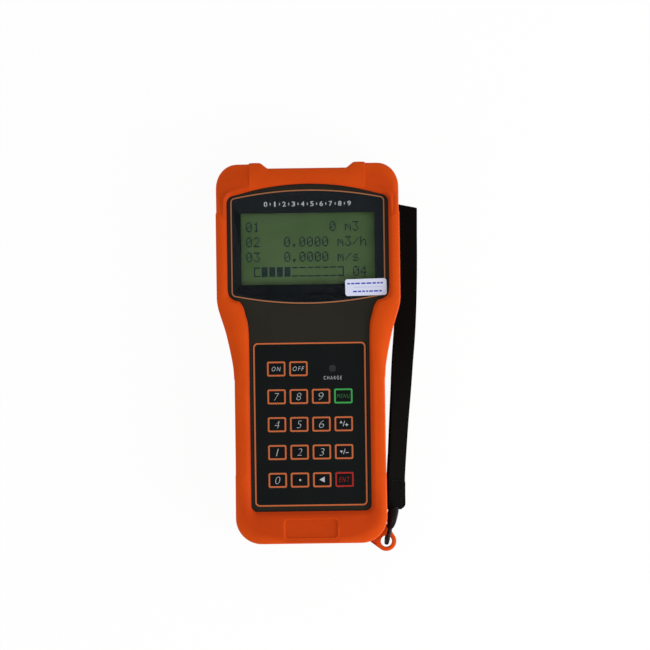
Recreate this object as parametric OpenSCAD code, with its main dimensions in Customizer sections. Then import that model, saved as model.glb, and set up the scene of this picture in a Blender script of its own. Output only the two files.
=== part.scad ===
// Handheld ultrasonic flow meter in a rubber boot, with membrane keypad, display and wrist strap.
// It lies on its back: +Z out of the display, +Y towards the connector end, +X to the reader's right.

/* [Boot] */
// Length of the boot from its flat bottom edge to the flat of its top edge
boot_len = 210; // [200:1:225]
// Width of the boot across the display head
head_w = 103; // [101:0.5:108]
// Width of the boot across the grip
grip_w = 84.2; // [83:0.2:90]
// Height of the boot above the table
boot_h = 39.5; // [38.5:0.5:44]
// Thickness of the boot's side wall
boot_wall = 5; // [4:0.25:5.5]
// Thickness of the boot's back rim
back_t = 4; // [3:0.25:5]
// Radius of the boot's bottom corners
foot_r = 17.5; // [14:0.5:20]
// Radius of the boot's top corners
crown_r = 13; // [12.5:0.5:16]
// Height of the corner bumpers above the flat top edge
bump_rise = 3.4; // [1:0.2:5]
// Length of the head at its full width
head_len = 72.2; // [68:0.2:76]
// Length of the shoulder between the grip and the head
shoulder_len = 47; // [43:0.5:54]

/* [Front window of the boot] */
// Depth of the boot's front lip at the bottom
lip_foot = 17.4; // [15:0.2:18]
// Depth of the boot's front lip at the middle of the top
lip_top = 8.6; // [8:0.2:9.5]
// Width of the lip beside the keypad
lip_grip = 8.6; // [7.5:0.1:9]
// Width of the lip beside the display
lip_head = 6.2; // [5.8:0.1:6.6]
// Rise of the arched top edge of the window
window_arch = 6.2; // [4:0.2:8]
// Corner radius at the bottom of the window
window_foot_r = 3.5; // [2:0.5:5]
// Corner radius at the top of the window
window_top_r = 4.5; // [3:0.5:6]
// Width of the finger recess in the bottom lip
recess_w = 28.6; // [20:0.2:34]
// Height of the finger recess in the bottom lip
recess_h = 10; // [7:0.2:11]
// Depth of the finger recess
recess_deep = 0.8; // [0.4:0.1:1.2]

/* [Lanyard eyelet] */
// Diameter of the eyelet's hole
eyelet_d = 6.3; // [5.4:0.1:7]
// Width of the rubber round the hole
eyelet_band = 2.45; // [2:0.05:3.5]
// Thickness of the eyelet
eyelet_t = 4; // [3:0.2:4.6]
// How far the hole's middle lies inside the grip's side line
eyelet_inset = 0.5; // [0:0.1:1]
// How far the hole's middle lies above the boot's bottom edge
eyelet_lift = 0.1; // [0:0.1:0.6]
// Height of the eyelet's underside above the table
eyelet_z = 10; // [9.6:0.2:11]

/* [Case] */
// Height of the hard case between the boot's back rim and lip
case_h = 32; // [31:0.5:34]
// Wall thickness of the case
case_wall = 2.6; // [2:0.1:2.8]
// Height of the front shell
front_h = 10; // [9.5:0.5:10.5]

/* [Display] */
// Width of the screen panel beside the clear display window
glass_side = 6.1; // [5:0.1:9]
// Height of the clear display window
glass_h = 39.8; // [34:0.2:41]
// How far the display's middle lies below the screen panel's middle
glass_low = 1.15; // [0:0.05:3]
// Space between the window's edge and the screen panel
panel_gap = 1.9; // [1.5:0.1:2.4]
// Space between the window's arched top and the screen panel
panel_gap_top = 3; // [2.5:0.1:4]
// Height of the screen panel at its middle
panel_h = 64.5; // [62:0.5:66]
// Rise of the screen panel's arched top and bottom edges
panel_arch = 4.1; // [2:0.1:5]
// Thickness of the printed panels
panel_t = 0.6; // [0.5:0.05:0.8]
// Thickness of the clear window
lens_t = 2; // [1.5:0.1:2.2]

/* [Keypad] */
// Space between the window's sides and the keypad overlay
keypad_side = 1.6; // [1.4:0.1:3]
// Space between the window's bottom edge and the keypad overlay
keypad_foot = 3.2; // [2:0.1:5]
// Bare stretch of the case between the keypad overlay and the screen panel
neck = 21.3; // [18:0.1:26]
// Space beside the key columns
key_side = 8.02; // [6:0.02:10]
// Space between key columns
key_space_x = 2.12; // [1.5:0.02:4]
// How far a key travels
key_travel = 0.4; // [0.2:0.05:0.5]
// Diameter of the charging lamp
lamp_d = 3.9; // [3:0.1:5]

/* [Connectors] */
// Diameter of the free bore in each transducer socket
socket_bore = 9; // [8:0.1:9.4]
// Depth of the free bore in each transducer socket
socket_deep = 7; // [6:0.25:8]
// Distance between the two transducer sockets
socket_pitch = 26; // [25:0.5:27]
// Bore of the charger jack
jack_bore = 5.8; // [5.5:0.1:6.2]

/* [Battery] */
// Diameter of a cell
cell_d = 10.5; // [9.5:0.1:11]
// Length of a cell
cell_len = 44.5; // [40:0.5:46]

/* [Strap] */
// Width of the webbing
strap_w = 12.2; // [10:0.1:12.2]
// Thickness of one layer of webbing
strap_t = 1; // [0.8:0.1:1.1]
// Diameter of the cord loop
cord_d = 2.5; // [2:0.1:2.6]

/* [Hidden] */

// Clearances and the overrun of every cut
fit = 0.15;
seat = 0.05;
key_gap = 0.15;
over = 1;
fine = 48;

// Colours
rubber_orange = [0.86, 0.29, 0.08];
case_grey = [0.18, 0.17, 0.15];
panel_grey = [0.11, 0.13, 0.15];
metal = [0.72, 0.72, 0.70];
board_green = [0.10, 0.32, 0.20];
plain_black = [0.06, 0.06, 0.06];

// Sizes that follow from those above
shoulder_to = boot_len - head_len;
shoulder_from = shoulder_to - shoulder_len;
panel_w = head_w - 2 * (lip_head + panel_gap);
panel_top = boot_len - lip_top - panel_gap_top;
panel_foot = panel_top - panel_h;
glass_w = panel_w - 2 * glass_side;
glass_up = (panel_top + panel_foot) / 2 - glass_low;
key_cols = 4;
key_rows = 5;
keypad_w = grip_w - 2 * (lip_grip + keypad_side);
keypad_h = panel_foot - neck - keypad_foot - lip_foot;
keypad_up = lip_foot + keypad_foot + keypad_h / 2;
key_w = (keypad_w - 2 * key_side - (key_cols - 1) * key_space_x) / key_cols;
key_pitch_x = key_w + key_space_x;
// Shares of the keypad's height: a key, and the distance from row to row
key_h_share = 0.0913;
key_pitch_share = 0.16957;
key_h = keypad_h * key_h_share;
key_pitch_y = keypad_h * key_pitch_share;

// Heights of the main faces
case_z0 = back_t + seat;
case_z1 = case_z0 + case_h;
rear_h = case_h - front_h;
part_z = case_z0 + rear_h;
port_z = case_z0 + rear_h / 2;
lip_z0 = case_z1 + seat;
floor_z = case_z0 + case_wall;
roof_z = case_z1 - case_wall;

// The eyelet lies under the lower right corner and sets how far the object reaches below the boot
eyelet_r = eyelet_d / 2 + eyelet_band;
eyelet_x = grip_w / 2 - eyelet_inset;
overhang = eyelet_r - eyelet_lift;
foot_y = -(boot_len + bump_rise + overhang) / 2 + overhang;
function up(s) = foot_y + s;
eyelet_y = up(eyelet_lift);

// Shares of the way from grip to head: [along the length, across the width]
outer_shoulder_shares = [
    [0, 0], [0.08, 0.02], [0.18, 0.06], [0.32, 0.18], [0.47, 0.335], [0.60, 0.49], [0.70, 0.645],
    [0.79, 0.79], [0.86, 0.895], [0.915, 0.955], [0.957, 0.985], [1, 1]
];
window_shoulder_shares = [
    [0, 0], [0.25, 0], [0.48, 0.005], [0.63, 0.05], [0.715, 0.15], [0.788, 0.23], [0.828, 0.32],
    [0.862, 0.44], [0.872, 0.60], [0.893, 0.80], [0.93, 0.945], [1, 1]
];
// Stations across half of the top edge, and the bumper's height at each
crown_shares = [0.97, 0.89, 0.875, 0.78, 0.73, 0.675, 0.62, 0.57, 0.525, 0.3, 0];
bump_shares = [0.69, 0.79, 0.86, 1, 1, 0.86, 0.5, 0.14, 0, 0, 0];
bump_corner_share = 0.65;
window_shoulder_over = 5.2;
corner_steps = 8;
// Where a corner round hands over to an arched edge
arch_turn = 75;
half_turn = 180;
// Stations along the straight stretches
foot_shares = [0, 0.34, 0.67, 1];
grip_shares = [0.33, 0.67];
head_shares = [0.5, 1];

function arc(cx, cy, r, a0, a1, n) = [
    for (i = [1:n]) let (a = a0 + (a1 - a0) * i / n) [cx + r * cos(a), cy + r * sin(a)]
];
function mirrored(half) = [for (i = [len(half) - 2:-1:1]) [-half[i][0], half[i][1]]];
function whole(half) = concat(half, mirrored(half));

// Right half of the boot's outline, from the bottom centre to the top centre, bumpers left out
outer_half = let (g = grip_w / 2, h = head_w / 2, rise = shoulder_to - shoulder_from) concat(
    [for (s = foot_shares) [(g - foot_r) * s, up(0)]],
    arc(g - foot_r, up(foot_r), foot_r, -90, 0, corner_steps),
    [for (s = grip_shares) [g, up(foot_r + (shoulder_from - foot_r) * s)]],
    [for (p = outer_shoulder_shares) [g + (h - g) * p[1], up(shoulder_from + rise * p[0])]],
    [for (s = head_shares) [h, up(shoulder_to + (boot_len - crown_r - shoulder_to) * s)]],
    arc(h - crown_r, up(boot_len - crown_r), crown_r, 0, 90, corner_steps),
    [for (s = crown_shares) [(h - crown_r) * s, up(boot_len)]]
);

// How far each station of the outline is lifted by the corner bumpers
lift_half = concat(
    [for (s = concat(foot_shares, grip_shares, outer_shoulder_shares, head_shares)) 0],
    [for (i = [1:corner_steps]) 0],
    [for (i = [1:corner_steps]) bump_rise * bump_corner_share * sqrt(sin(90 * i / corner_steps))],
    [for (s = bump_shares) bump_rise * s]
);

// Right half of the front window, with as many stations as the outline
window_half = let (
    g = grip_w / 2 - lip_grip, h = head_w / 2 - lip_head,
    y1 = boot_len - lip_top, rise = shoulder_to + window_shoulder_over - shoulder_from,
    rf = window_foot_r, rt = window_top_r, side_top = y1 - window_arch - rt
) concat(
    [for (s = foot_shares) [(g - rf) * s, up(lip_foot)]],
    arc(g - rf, up(lip_foot + rf), rf, -90, 0, corner_steps),
    [for (s = grip_shares) [g, up(foot_r + (shoulder_from - foot_r) * s)]],
    [for (p = window_shoulder_shares) [g + (h - g) * p[1], up(shoulder_from + rise * p[0])]],
    [for (s = head_shares) [h, up(shoulder_from + rise + (side_top - shoulder_from - rise) * s)]],
    arc(h - rt, up(side_top), rt, 0, arch_turn, corner_steps),
    [for (s = crown_shares) [(h - rt) * s, up(y1 - window_arch * s * s)]]
);

base = whole(outer_half);
window = whole(window_half);
lift = concat(lift_half, [for (i = [len(lift_half) - 2:-1:1]) lift_half[i]]);
stations = len(base);
function out(i) = let (
    a = base[(i + stations - 1) % stations], b = base[(i + 1) % stations],
    t = (b - a) / norm(b - a)
) [t[1], -t[0]];
normals = [for (i = [0:stations - 1]) out(i)];
function inset(d) = [for (i = [0:stations - 1]) base[i] - normals[i] * d];
rim = [for (i = [0:stations - 1]) base[i] + [0, lift[i]]];

// Section of the boot, as shares of its edge rounds
round_steps = 5;
round_shares = [for (i = [0:round_steps]) let (a = 90 * i / round_steps) [1 - cos(a), sin(a)]];
back_rim = 12;
back_round = [8, 12];
front_round = [6.5, 12];
front_round_share = 0.62;
lip_slope = 2.6;
lip_slope_share = 0.25;
lip_fall = 1;
lip_fall_share = 0.7;
edge_break = 0.7;
crest_z = boot_h;

function boot_section(i, hole, cavity) = let (
    o = rim[i], w = window[i], k = hole[i], c = cavity[i], f = norm(w - o), b = norm(k - o),
    fx = min(front_round[0], f * front_round_share), sx = min(lip_slope, f * lip_slope_share),
    to_w = (w - o) / f, to_k = (k - o) / b
) concat(
    [[each k, edge_break], [each (k - to_k * edge_break), 0]],
    [for (j = [len(round_shares) - 1:-1:0]) let (s = round_shares[j])
        [each (o + to_k * back_round[0] * s[0]), back_round[1] * (1 - s[1])]],
    [[each o, (back_round[1] + crest_z - front_round[1]) / 2]],
    [for (s = round_shares) [each (o + to_w * fx * s[0]), crest_z - front_round[1] * (1 - s[1])]],
    [[each (w - to_w * sx), crest_z], [each (w - to_w * edge_break), crest_z - lip_fall * lip_fall_share],
     [each w, crest_z - lip_fall - edge_break], [each w, lip_z0], [each c, lip_z0],
     [each c, case_z0 - seat], [each k, case_z0 - seat]]
);

module swept_ring(sections) {
    n = len(sections);
    m = len(sections[0]);
    points = [for (s = sections) each s];
    faces = [for (i = [0:n - 1]) let (a = i * m, b = ((i + 1) % n) * m) each
        [for (j = [0:m - 1]) let (k = (j + 1) % m) each [[a + j, a + k, b + k], [a + j, b + k, b + j]]]];
    polyhedron(points, faces, convexity = 8);
}

module boot_blank() {
    hole = inset(back_rim);
    cavity = inset(boot_wall);
    swept_ring([for (i = [0:stations - 1]) boot_section(i, hole, cavity)]);
}

// Thin tab between the ring and the boot's corner, rooted in the middle of the boot's wall
tab_root_r = boot_wall / 2;
module eyelet_tab() {
    difference() {
        translate([0, 0, eyelet_z]) linear_extrude(eyelet_t) hull() {
            translate([eyelet_x, eyelet_y]) circle(r = eyelet_r, $fn = fine);
            translate([grip_w / 2 - foot_r / 2, up(tab_root_r)]) circle(r = tab_root_r, $fn = fine);
            translate([grip_w / 2 - tab_root_r, up(foot_r / 2)]) circle(r = tab_root_r, $fn = fine);
        }
        translate([0, 0, eyelet_z - over]) linear_extrude(eyelet_t + 2 * over) polygon(inset(tab_root_r));
    }
}

module rounded_box(w, h, r, t) {
    linear_extrude(t) rounded_rect(w, h, r);
}

module rounded_rect(w, h, r) {
    square([w - 2 * r, h], center = true);
    square([w, h - 2 * r], center = true);
    for (x = [-1, 1], y = [-1, 1])
        translate([x * (w / 2 - r), y * (h / 2 - r)]) circle(r = r, $fn = fine);
}

// Turns a shape drawn flat so that it stands in an end wall and runs along +Y
module along_y() {
    rotate([-90, 0, 0]) mirror([0, 1, 0]) children();
}

// Finger recess in the bottom lip
recess_up = 8.1;
recess_r = 1.2;

// Connector end: two transducer sockets with the charger jack between them
end_y = up(boot_len - boot_wall - fit);
socket_wall = 1;
socket_step = 0.5;
socket_flange_over = 1;
socket_ring_over = 1.5;
socket_ring_t = 0.8;
socket_flange_t = 1.2;
socket_nose = 2.4;
socket_tail = 7;
socket_nut_t = 2.5;
socket_r = socket_bore / 2 + socket_wall;
socket_flange_r = socket_r + socket_flange_over;
socket_ring_r = socket_r + socket_ring_over;
socket_tip = end_y + socket_ring_t + socket_flange_t + socket_nose;
bay_gap = 1;
bay_w = socket_pitch + 2 * (socket_ring_r + bay_gap);
bay_h = 2 * (socket_ring_r + bay_gap);
bay_r = 3;

// Foot end: the serial port behind its cut-out
foot_end_y = up(boot_wall + fit);
port_w = 30.8;
port_h = 12.5;
port_gap = 1;
port_r = 2;
port_nose_w = 16.9;
port_nose_h = 8.4;
port_nose_r = 1.8;
port_nose = 5.9;
port_rim = 0.5;
port_slack = 0.1;
port_flange_t = 1;
port_body = 9;
port_body_over = 1;
port_screw_pitch = 25;
port_screw_r = 2.4;

module protective_boot() color(rubber_orange) {
    difference() {
        union() {
            boot_blank();
            eyelet_tab();
        }
        translate([eyelet_x, eyelet_y, eyelet_z - over])
            cylinder(d = eyelet_d, h = eyelet_t + 2 * over, $fn = fine);
        translate([0, end_y - over, port_z]) along_y()
            rounded_box(bay_w, bay_h, bay_r, boot_wall + bump_rise + 2 * over);
        translate([0, up(-over), port_z]) along_y()
            rounded_box(port_w + 2 * port_gap, port_h + 2 * port_gap, port_r, boot_wall + 2 * over);
        translate([0, up(recess_up), crest_z - recess_deep])
            rounded_box(recess_w, recess_h, recess_r, recess_deep + over);
    }
}

// Screw bosses: [across, above the bottom edge]
boss_r = 3.6;
boss_foot_in = [15.6, 17.3];
boss_head_in = [17, 16.4];
boss_waist_drop = 7;
boss_foot = [grip_w / 2 - boss_foot_in[0], boss_foot_in[1]];
boss_waist = [head_w / 2 - boss_head_in[0], shoulder_to - boss_waist_drop];
boss_head = [head_w / 2 - boss_head_in[0], boot_len - boss_head_in[1]];
bosses = [for (p = [boss_foot, boss_waist, boss_head], s = [-1, 1]) [s * p[0], up(p[1])]];
screw_r = 1.5;
screw_slack = 0.15;
screw_head_r = 2.8;
screw_head_t = 2.2;
head_pit = 3;
insert_r = 2.1;
insert_len = 5;
insert_slack = 0.05;
pocket_slack = 0.4;

// Gasket groove in the rim of the rear shell
gasket_w = 0.9;
gasket_deep = 1;
gasket_proud = 0.3;
case_in = boot_wall + fit;
gasket_in = case_in + (case_wall - gasket_w) / 2;

module ring_prism(in0, in1, t) {
    linear_extrude(t) difference() {
        polygon(inset(in0));
        polygon(inset(in1));
    }
}

// Circuit board and what it stands on
board_t = 1.6;
board_drop = 4;
board_z = part_z - board_drop;
board_side = 6.35;
board_w = grip_w - 2 * (case_in + case_wall + board_side);
board_from = 21;
board_top = 22;
board_to = boot_len - board_top;
board_tail_side = 6.4;
board_tail_w = 2 * (boss_foot[0] - boss_r - board_tail_side);
board_tail_from = 11.6;
post_r = 2.8;
post_in = 3.6;
post_x = board_w / 2 - post_in;
post_ups = [board_from + post_in, (board_from + board_to) / 2, board_to - post_in];
posts = [for (u = post_ups, s = [-1, 1]) [s * post_x, up(u)]];
post_screw_r = 1.1;
post_screw_deep = 8;
post_head_r = 2.1;
post_head_t = 1.5;

module rear_shell() color(case_grey) difference() {
    union() {
        difference() {
            translate([0, 0, case_z0]) linear_extrude(rear_h) polygon(inset(case_in));
            translate([0, 0, floor_z]) linear_extrude(rear_h) polygon(inset(case_in + case_wall));
        }
        for (p = bosses) translate([each p, floor_z - seat])
            cylinder(r = boss_r, h = part_z - floor_z + seat, $fn = fine);
        for (p = posts) translate([each p, floor_z - seat])
            cylinder(r = post_r, h = board_z - floor_z + seat, $fn = fine);
    }
    translate([0, 0, part_z - gasket_deep]) ring_prism(gasket_in, gasket_in + gasket_w, gasket_deep + over);
    for (p = bosses) translate([each p, case_z0 - over]) {
        cylinder(r = screw_r + screw_slack, h = case_h, $fn = fine);
        cylinder(r = screw_head_r + screw_slack, h = head_pit + over, $fn = fine);
    }
    for (p = posts) translate([each p, board_z - post_screw_deep])
        cylinder(r = post_screw_r + insert_slack, h = post_screw_deep + over, $fn = fine);
    for (s = [-1, 1]) translate([s * socket_pitch / 2, end_y - case_wall - over, port_z]) along_y()
        cylinder(r = socket_r + fit, h = case_wall + 2 * over, $fn = fine);
    translate([0, end_y - case_wall - over, port_z]) along_y()
        cylinder(r = jack_r + fit, h = case_wall + 2 * over, $fn = fine);
    translate([0, foot_end_y - over, port_z]) along_y()
        rounded_box(port_nose_w + 2 * fit, port_nose_h + 2 * fit, port_nose_r, case_wall + 2 * over);
    for (s = [-1, 1]) translate([s * port_screw_pitch / 2, foot_end_y - over, port_z]) along_y()
        cylinder(r = port_screw_r + fit, h = case_wall + 2 * over, $fn = fine);
}

module shell_gasket() color(plain_black)
    translate([0, 0, part_z - gasket_deep])
        ring_prism(gasket_in + seat, gasket_in + gasket_w - seat, gasket_deep + gasket_proud);

// Screen panel: straight sides with arched top and bottom edges
panel_r = 3;
arch_steps = 8;
panel_corner_steps = 6;
function arched(w, y0, y1, arch, r) = let (h = w / 2 - r) concat(
    [for (i = [-arch_steps:arch_steps]) let (s = i / arch_steps) [h * s, y0 + arch * s * s]],
    arc(h, y0 + arch + r, r, -arch_turn, 0, panel_corner_steps),
    arc(h, y1 - arch - r, r, 0, arch_turn, panel_corner_steps),
    [for (i = [arch_steps:-1:-arch_steps]) let (s = i / arch_steps) [h * s, y1 - arch * s * s]],
    arc(-h, y1 - arch - r, r, half_turn - arch_turn, half_turn, panel_corner_steps),
    arc(-h, y0 + arch + r, r, half_turn, half_turn + arch_turn, panel_corner_steps)
);
module panel_shape(grow = 0) polygon(
    arched(panel_w + 2 * grow, up(panel_foot) - grow, up(panel_top) + grow, panel_arch, panel_r)
);
module glass_shape(grow = 0)
    translate([0, up(glass_up)]) rounded_rect(glass_w + 2 * grow, glass_h + 2 * grow, glass_r);
glass_r = 0.8;

module screen_panel() color(panel_grey)
    translate([0, 0, case_z1 - panel_t]) linear_extrude(panel_t) difference() {
        panel_shape();
        glass_shape(fit);
    }

module screen_lens() color([0.30, 0.38, 0.24])
    translate([0, 0, case_z1 - lens_t]) linear_extrude(lens_t) glass_shape();

film_t = 0.12;
film_in = 1.6;
module screen_film() color([0.85, 0.88, 0.9])
    translate([0, 0, case_z1]) linear_extrude(film_t) panel_shape(-film_in);

tab_w = 23.2;
tab_h = 9.4;
tab_r = 1.4;
tab_t = 0.15;
tab_in = 11.2;
tab_rise = 9.1;
tab_x = panel_w / 2 - tab_in;
tab_up = panel_foot + tab_rise;
tab_turn = 1;
module film_tab() color([0.82, 0.84, 0.9])
    translate([tab_x, up(tab_up), case_z1 + film_t]) rotate(tab_turn) rounded_box(tab_w, tab_h, tab_r, tab_t);

// Keypad stack: circuit sheet with metal domes, spacer sheet, overlay with the keys in it
keypad_r = 2.8;
circuit_t = 0.3;
sheet_in = 1;
dome_h = 0.35;
dome_rim = 1.2;
dome_top_share = 0.47;
dome_r = key_h / 2 - dome_rim;
key_nub = 0.1;
key_nub_r = 1.5;
key_r = 1;
key_stop = 0.05;
spacer_t = dome_h + key_nub + key_travel + key_stop;
lamp_share = 1.0265;
overlay_z = case_z1 - panel_t;
spacer_z = overlay_z - spacer_t;
circuit_z = spacer_z - circuit_t;
top_row_keys = 2;
function key_at(col, row) = [
    (col - (key_cols - 1) / 2) * key_pitch_x, up(keypad_up) + ((key_rows - 1) / 2 - row) * key_pitch_y
];
key_places = [
    for (row = [0:key_rows - 1], col = [0:key_cols - 1]) if (row > 0 || col < top_row_keys) key_at(col, row)
];
lamp_at = [lamp_share * key_pitch_x, key_at(0, 0)[1]];
module at_keypad() translate([0, up(keypad_up)]) children();
module keypad_holes(grow) {
    for (p = key_places) translate(p) rounded_rect(key_w + 2 * grow, key_h + 2 * grow, key_r + grow);
    translate(lamp_at) circle(d = lamp_d + 2 * fit, $fn = fine);
}

module keypad_overlay() color(panel_grey)
    translate([0, 0, overlay_z]) linear_extrude(panel_t) difference() {
        at_keypad() rounded_rect(keypad_w, keypad_h, keypad_r);
        keypad_holes(key_gap);
    }

module keypad_spacer() color([0.75, 0.75, 0.72])
    translate([0, 0, spacer_z]) linear_extrude(spacer_t) difference() {
        at_keypad() rounded_rect(keypad_w - 2 * sheet_in, keypad_h - 2 * sheet_in, keypad_r);
        keypad_holes(key_gap);
    }

module keypad_circuit() color([0.75, 0.65, 0.35])
    translate([0, 0, circuit_z]) linear_extrude(circuit_t)
        at_keypad() rounded_rect(keypad_w - 2 * sheet_in, keypad_h - 2 * sheet_in, keypad_r);

module key_domes() color(metal)
    for (p = key_places) translate([each p, spacer_z])
        cylinder(r1 = dome_r, r2 = dome_r * dome_top_share, h = dome_h, $fn = fine);

module key_pad(col, row) {
    translate([each key_at(col, row), overlay_z]) {
        rounded_box(key_w, key_h, key_r, panel_t);
        translate([0, 0, -key_nub]) cylinder(r = key_nub_r, h = key_nub + seat, $fn = fine);
    }
}
module key_on() color(panel_grey) key_pad(0, 0);
module key_off() color(panel_grey) key_pad(1, 0);
module key_7() color(panel_grey) key_pad(0, 1);
module key_8() color(panel_grey) key_pad(1, 1);
module key_9() color(panel_grey) key_pad(2, 1);
module key_menu() color([0.10, 0.45, 0.22]) key_pad(3, 1);
module key_4() color(panel_grey) key_pad(0, 2);
module key_5() color(panel_grey) key_pad(1, 2);
module key_6() color(panel_grey) key_pad(2, 2);
module key_up() color(panel_grey) key_pad(3, 2);
module key_1() color(panel_grey) key_pad(0, 3);
module key_2() color(panel_grey) key_pad(1, 3);
module key_3() color(panel_grey) key_pad(2, 3);
module key_down() color(panel_grey) key_pad(3, 3);
module key_0() color(panel_grey) key_pad(0, 4);
module key_point() color(panel_grey) key_pad(1, 4);
module key_left() color(panel_grey) key_pad(2, 4);
module key_enter() color([0.55, 0.12, 0.12]) key_pad(3, 4);

module charge_led() color([0.2, 0.2, 0.2])
    translate([each lamp_at, spacer_z]) cylinder(d = lamp_d, h = spacer_t + panel_t - seat, $fn = fine);

// Front shell: open below, with recesses for both panels and the display opening
tail_w = 14;
tail_t = 0.3;
tail_gap = 0.5;
tail_in = 3.3;
tail_y = up(keypad_up) + keypad_h / 2 - tail_in;
module front_shell() color(case_grey) difference() {
    union() {
        difference() {
            translate([0, 0, part_z]) linear_extrude(case_z1 - part_z) polygon(inset(case_in));
            translate([0, 0, part_z - over]) linear_extrude(roof_z - part_z + over)
                polygon(inset(case_in + case_wall));
        }
        for (p = bosses) translate([each p, part_z])
            cylinder(r = boss_r, h = roof_z - part_z + seat, $fn = fine);
    }
    translate([0, 0, case_z1 - panel_t]) linear_extrude(panel_t + over) panel_shape(fit);
    translate([0, 0, roof_z - over]) linear_extrude(case_wall + 2 * over) glass_shape(fit);
    translate([0, up(keypad_up), circuit_z])
        rounded_box(keypad_w + 2 * fit, keypad_h + 2 * fit, keypad_r, case_z1 - circuit_z + over);
    translate([0, tail_y, roof_z - over])
        linear_extrude(case_wall) square([tail_w + 2 * tail_gap, tail_t + 2 * tail_gap], center = true);
    for (p = bosses) translate([each p, part_z - over])
        cylinder(r = insert_r + insert_slack, h = insert_len + pocket_slack + over, $fn = fine);
    translate([0, 0, part_z - over]) ring_prism(gasket_in, gasket_in + gasket_w, gasket_proud + seat + over);
}

// Display module behind the clear window
lcd_over = 2;
lcd_frame = 2.5;
lcd_t = 1.8;
light_t = 3.4;
lcd_board_over = 4.5;
lcd_slack = 0.1;
lcd_top = roof_z - seat;
light_z = lcd_top - lcd_t - light_t - seat;
lcd_board_z = light_z - board_t;
module at_glass() translate([0, up(glass_up)]) children();
module lcd_rect(grow) at_glass() square([glass_w + 2 * grow, glass_h + 2 * grow], center = true);

module lcd_glass() color([0.35, 0.45, 0.22])
    translate([0, 0, lcd_top - lcd_t]) linear_extrude(lcd_t) lcd_rect(lcd_over);

module lcd_backlight() color([0.9, 0.9, 0.85])
    translate([0, 0, light_z]) linear_extrude(light_t) lcd_rect(lcd_over);

module lcd_bezel() color(metal)
    translate([0, 0, light_z]) linear_extrude(lcd_top - light_z) difference() {
        lcd_rect(lcd_over + lcd_frame);
        lcd_rect(lcd_over + lcd_slack);
    }

pin_w = 0.64;
pin_pitch = 2.54;
pins = 16;
pin_up = 4;
pin_strip_w = 2.5;
pin_y = up(glass_up + glass_h / 2 - pin_up);
module lcd_board() color(board_green)
    translate([0, 0, lcd_board_z]) linear_extrude(board_t) lcd_rect(lcd_board_over);

module lcd_header() color(plain_black)
    translate([0, pin_y, board_z + board_t + seat]) {
        linear_extrude(pin_strip_w / 2) square([pins * pin_pitch, pin_strip_w], center = true);
        for (i = [0:pins - 1]) translate([(i - (pins - 1) / 2) * pin_pitch, 0])
            linear_extrude(lcd_board_z - board_z - board_t - 2 * seat) square(pin_w, center = true);
    }

module main_board() color(board_green) difference() {
    translate([0, 0, board_z]) linear_extrude(board_t) {
        translate([-board_w / 2, up(board_from)]) square([board_w, board_to - board_from]);
        translate([-board_tail_w / 2, up(board_tail_from)])
            square([board_tail_w, board_from - board_tail_from + over]);
    }
    for (p = posts) translate([each p, board_z - over])
        cylinder(r = post_screw_r + screw_slack, h = board_t + 2 * over, $fn = fine);
}

// Chips: [across, along, size across, size along, height], as shares of the board's width, of the
// length between its foot and the keypad's lead, and of the tallest chip
chip_shares = [
    [0, 0.79, 0.25, 0.16, 0.9], [-0.30, 0.76, 0.12, 0.09, 0.7], [0.30, 0.81, 0.14, 0.11, 0.7],
    [-0.28, 0.49, 0.16, 0.08, 0.6], [0.05, 0.45, 0.16, 0.11, 1], [0.30, 0.51, 0.10, 0.08, 0.6],
    [-0.05, 0.25, 0.22, 0.09, 0.8], [0.27, 0.23, 0.10, 0.09, 1]
];
chip_h = 2;
module board_chips() color(plain_black) {
    len_b = tail_y - up(board_from);
    for (c = chip_shares) translate([c[0] * board_w, up(board_from + c[1] * len_b), board_z + board_t])
        linear_extrude(chip_h * c[4]) square([c[2] * board_w, c[3] * len_b], center = true);
}

module keypad_tail() color([0.75, 0.65, 0.35])
    translate([0, tail_y, board_z + board_t]) linear_extrude(circuit_z - board_z - board_t)
        square([tail_w, tail_t], center = true);

buzzer_r = 6;
buzzer_h = 5.5;
buzzer_share = 0.72;
buzzer_up = board_from + buzzer_share * (board_to - board_from);
buzzer_hole_r = 1;
module buzzer() color(plain_black)
    translate([0, up(buzzer_up), board_z - buzzer_h]) difference() {
        cylinder(r = buzzer_r, h = buzzer_h, $fn = fine);
        translate([0, 0, -over]) cylinder(r = buzzer_hole_r, h = 2 * over, $fn = fine);
    }

socket_len = socket_tip - end_y + case_wall + socket_tail;
module socket_shell() {
    translate([0, end_y + socket_ring_t, 0]) along_y() difference() {
        union() {
            cylinder(r = socket_flange_r, h = socket_flange_t, $fn = fine);
            translate([0, 0, -socket_ring_t - case_wall - socket_tail])
                cylinder(r = socket_r, h = socket_len, $fn = fine);
        }
        translate([0, 0, -socket_ring_t - case_wall - socket_tail - over])
            cylinder(r = socket_bore / 2 - socket_step, h = socket_len + 2 * over, $fn = fine);
        translate([0, 0, socket_tip - socket_deep - end_y - socket_ring_t])
            cylinder(d = socket_bore, h = socket_deep + over, $fn = fine);
    }
}
module at_socket(side) translate([side * socket_pitch / 2, 0, port_z]) children();
module socket_washer() translate([0, end_y, 0]) along_y() difference() {
    cylinder(r = socket_ring_r, h = socket_ring_t, $fn = fine);
    translate([0, 0, -over]) cylinder(r = socket_r + seat, h = socket_ring_t + 2 * over, $fn = fine);
}
module upstream_socket() color(metal) at_socket(-1) socket_shell();
module downstream_socket() color(metal) at_socket(1) socket_shell();
module upstream_ring() color([0.75, 0.1, 0.1]) at_socket(-1) socket_washer();
module downstream_ring() color([0.1, 0.2, 0.7]) at_socket(1) socket_washer();

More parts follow.
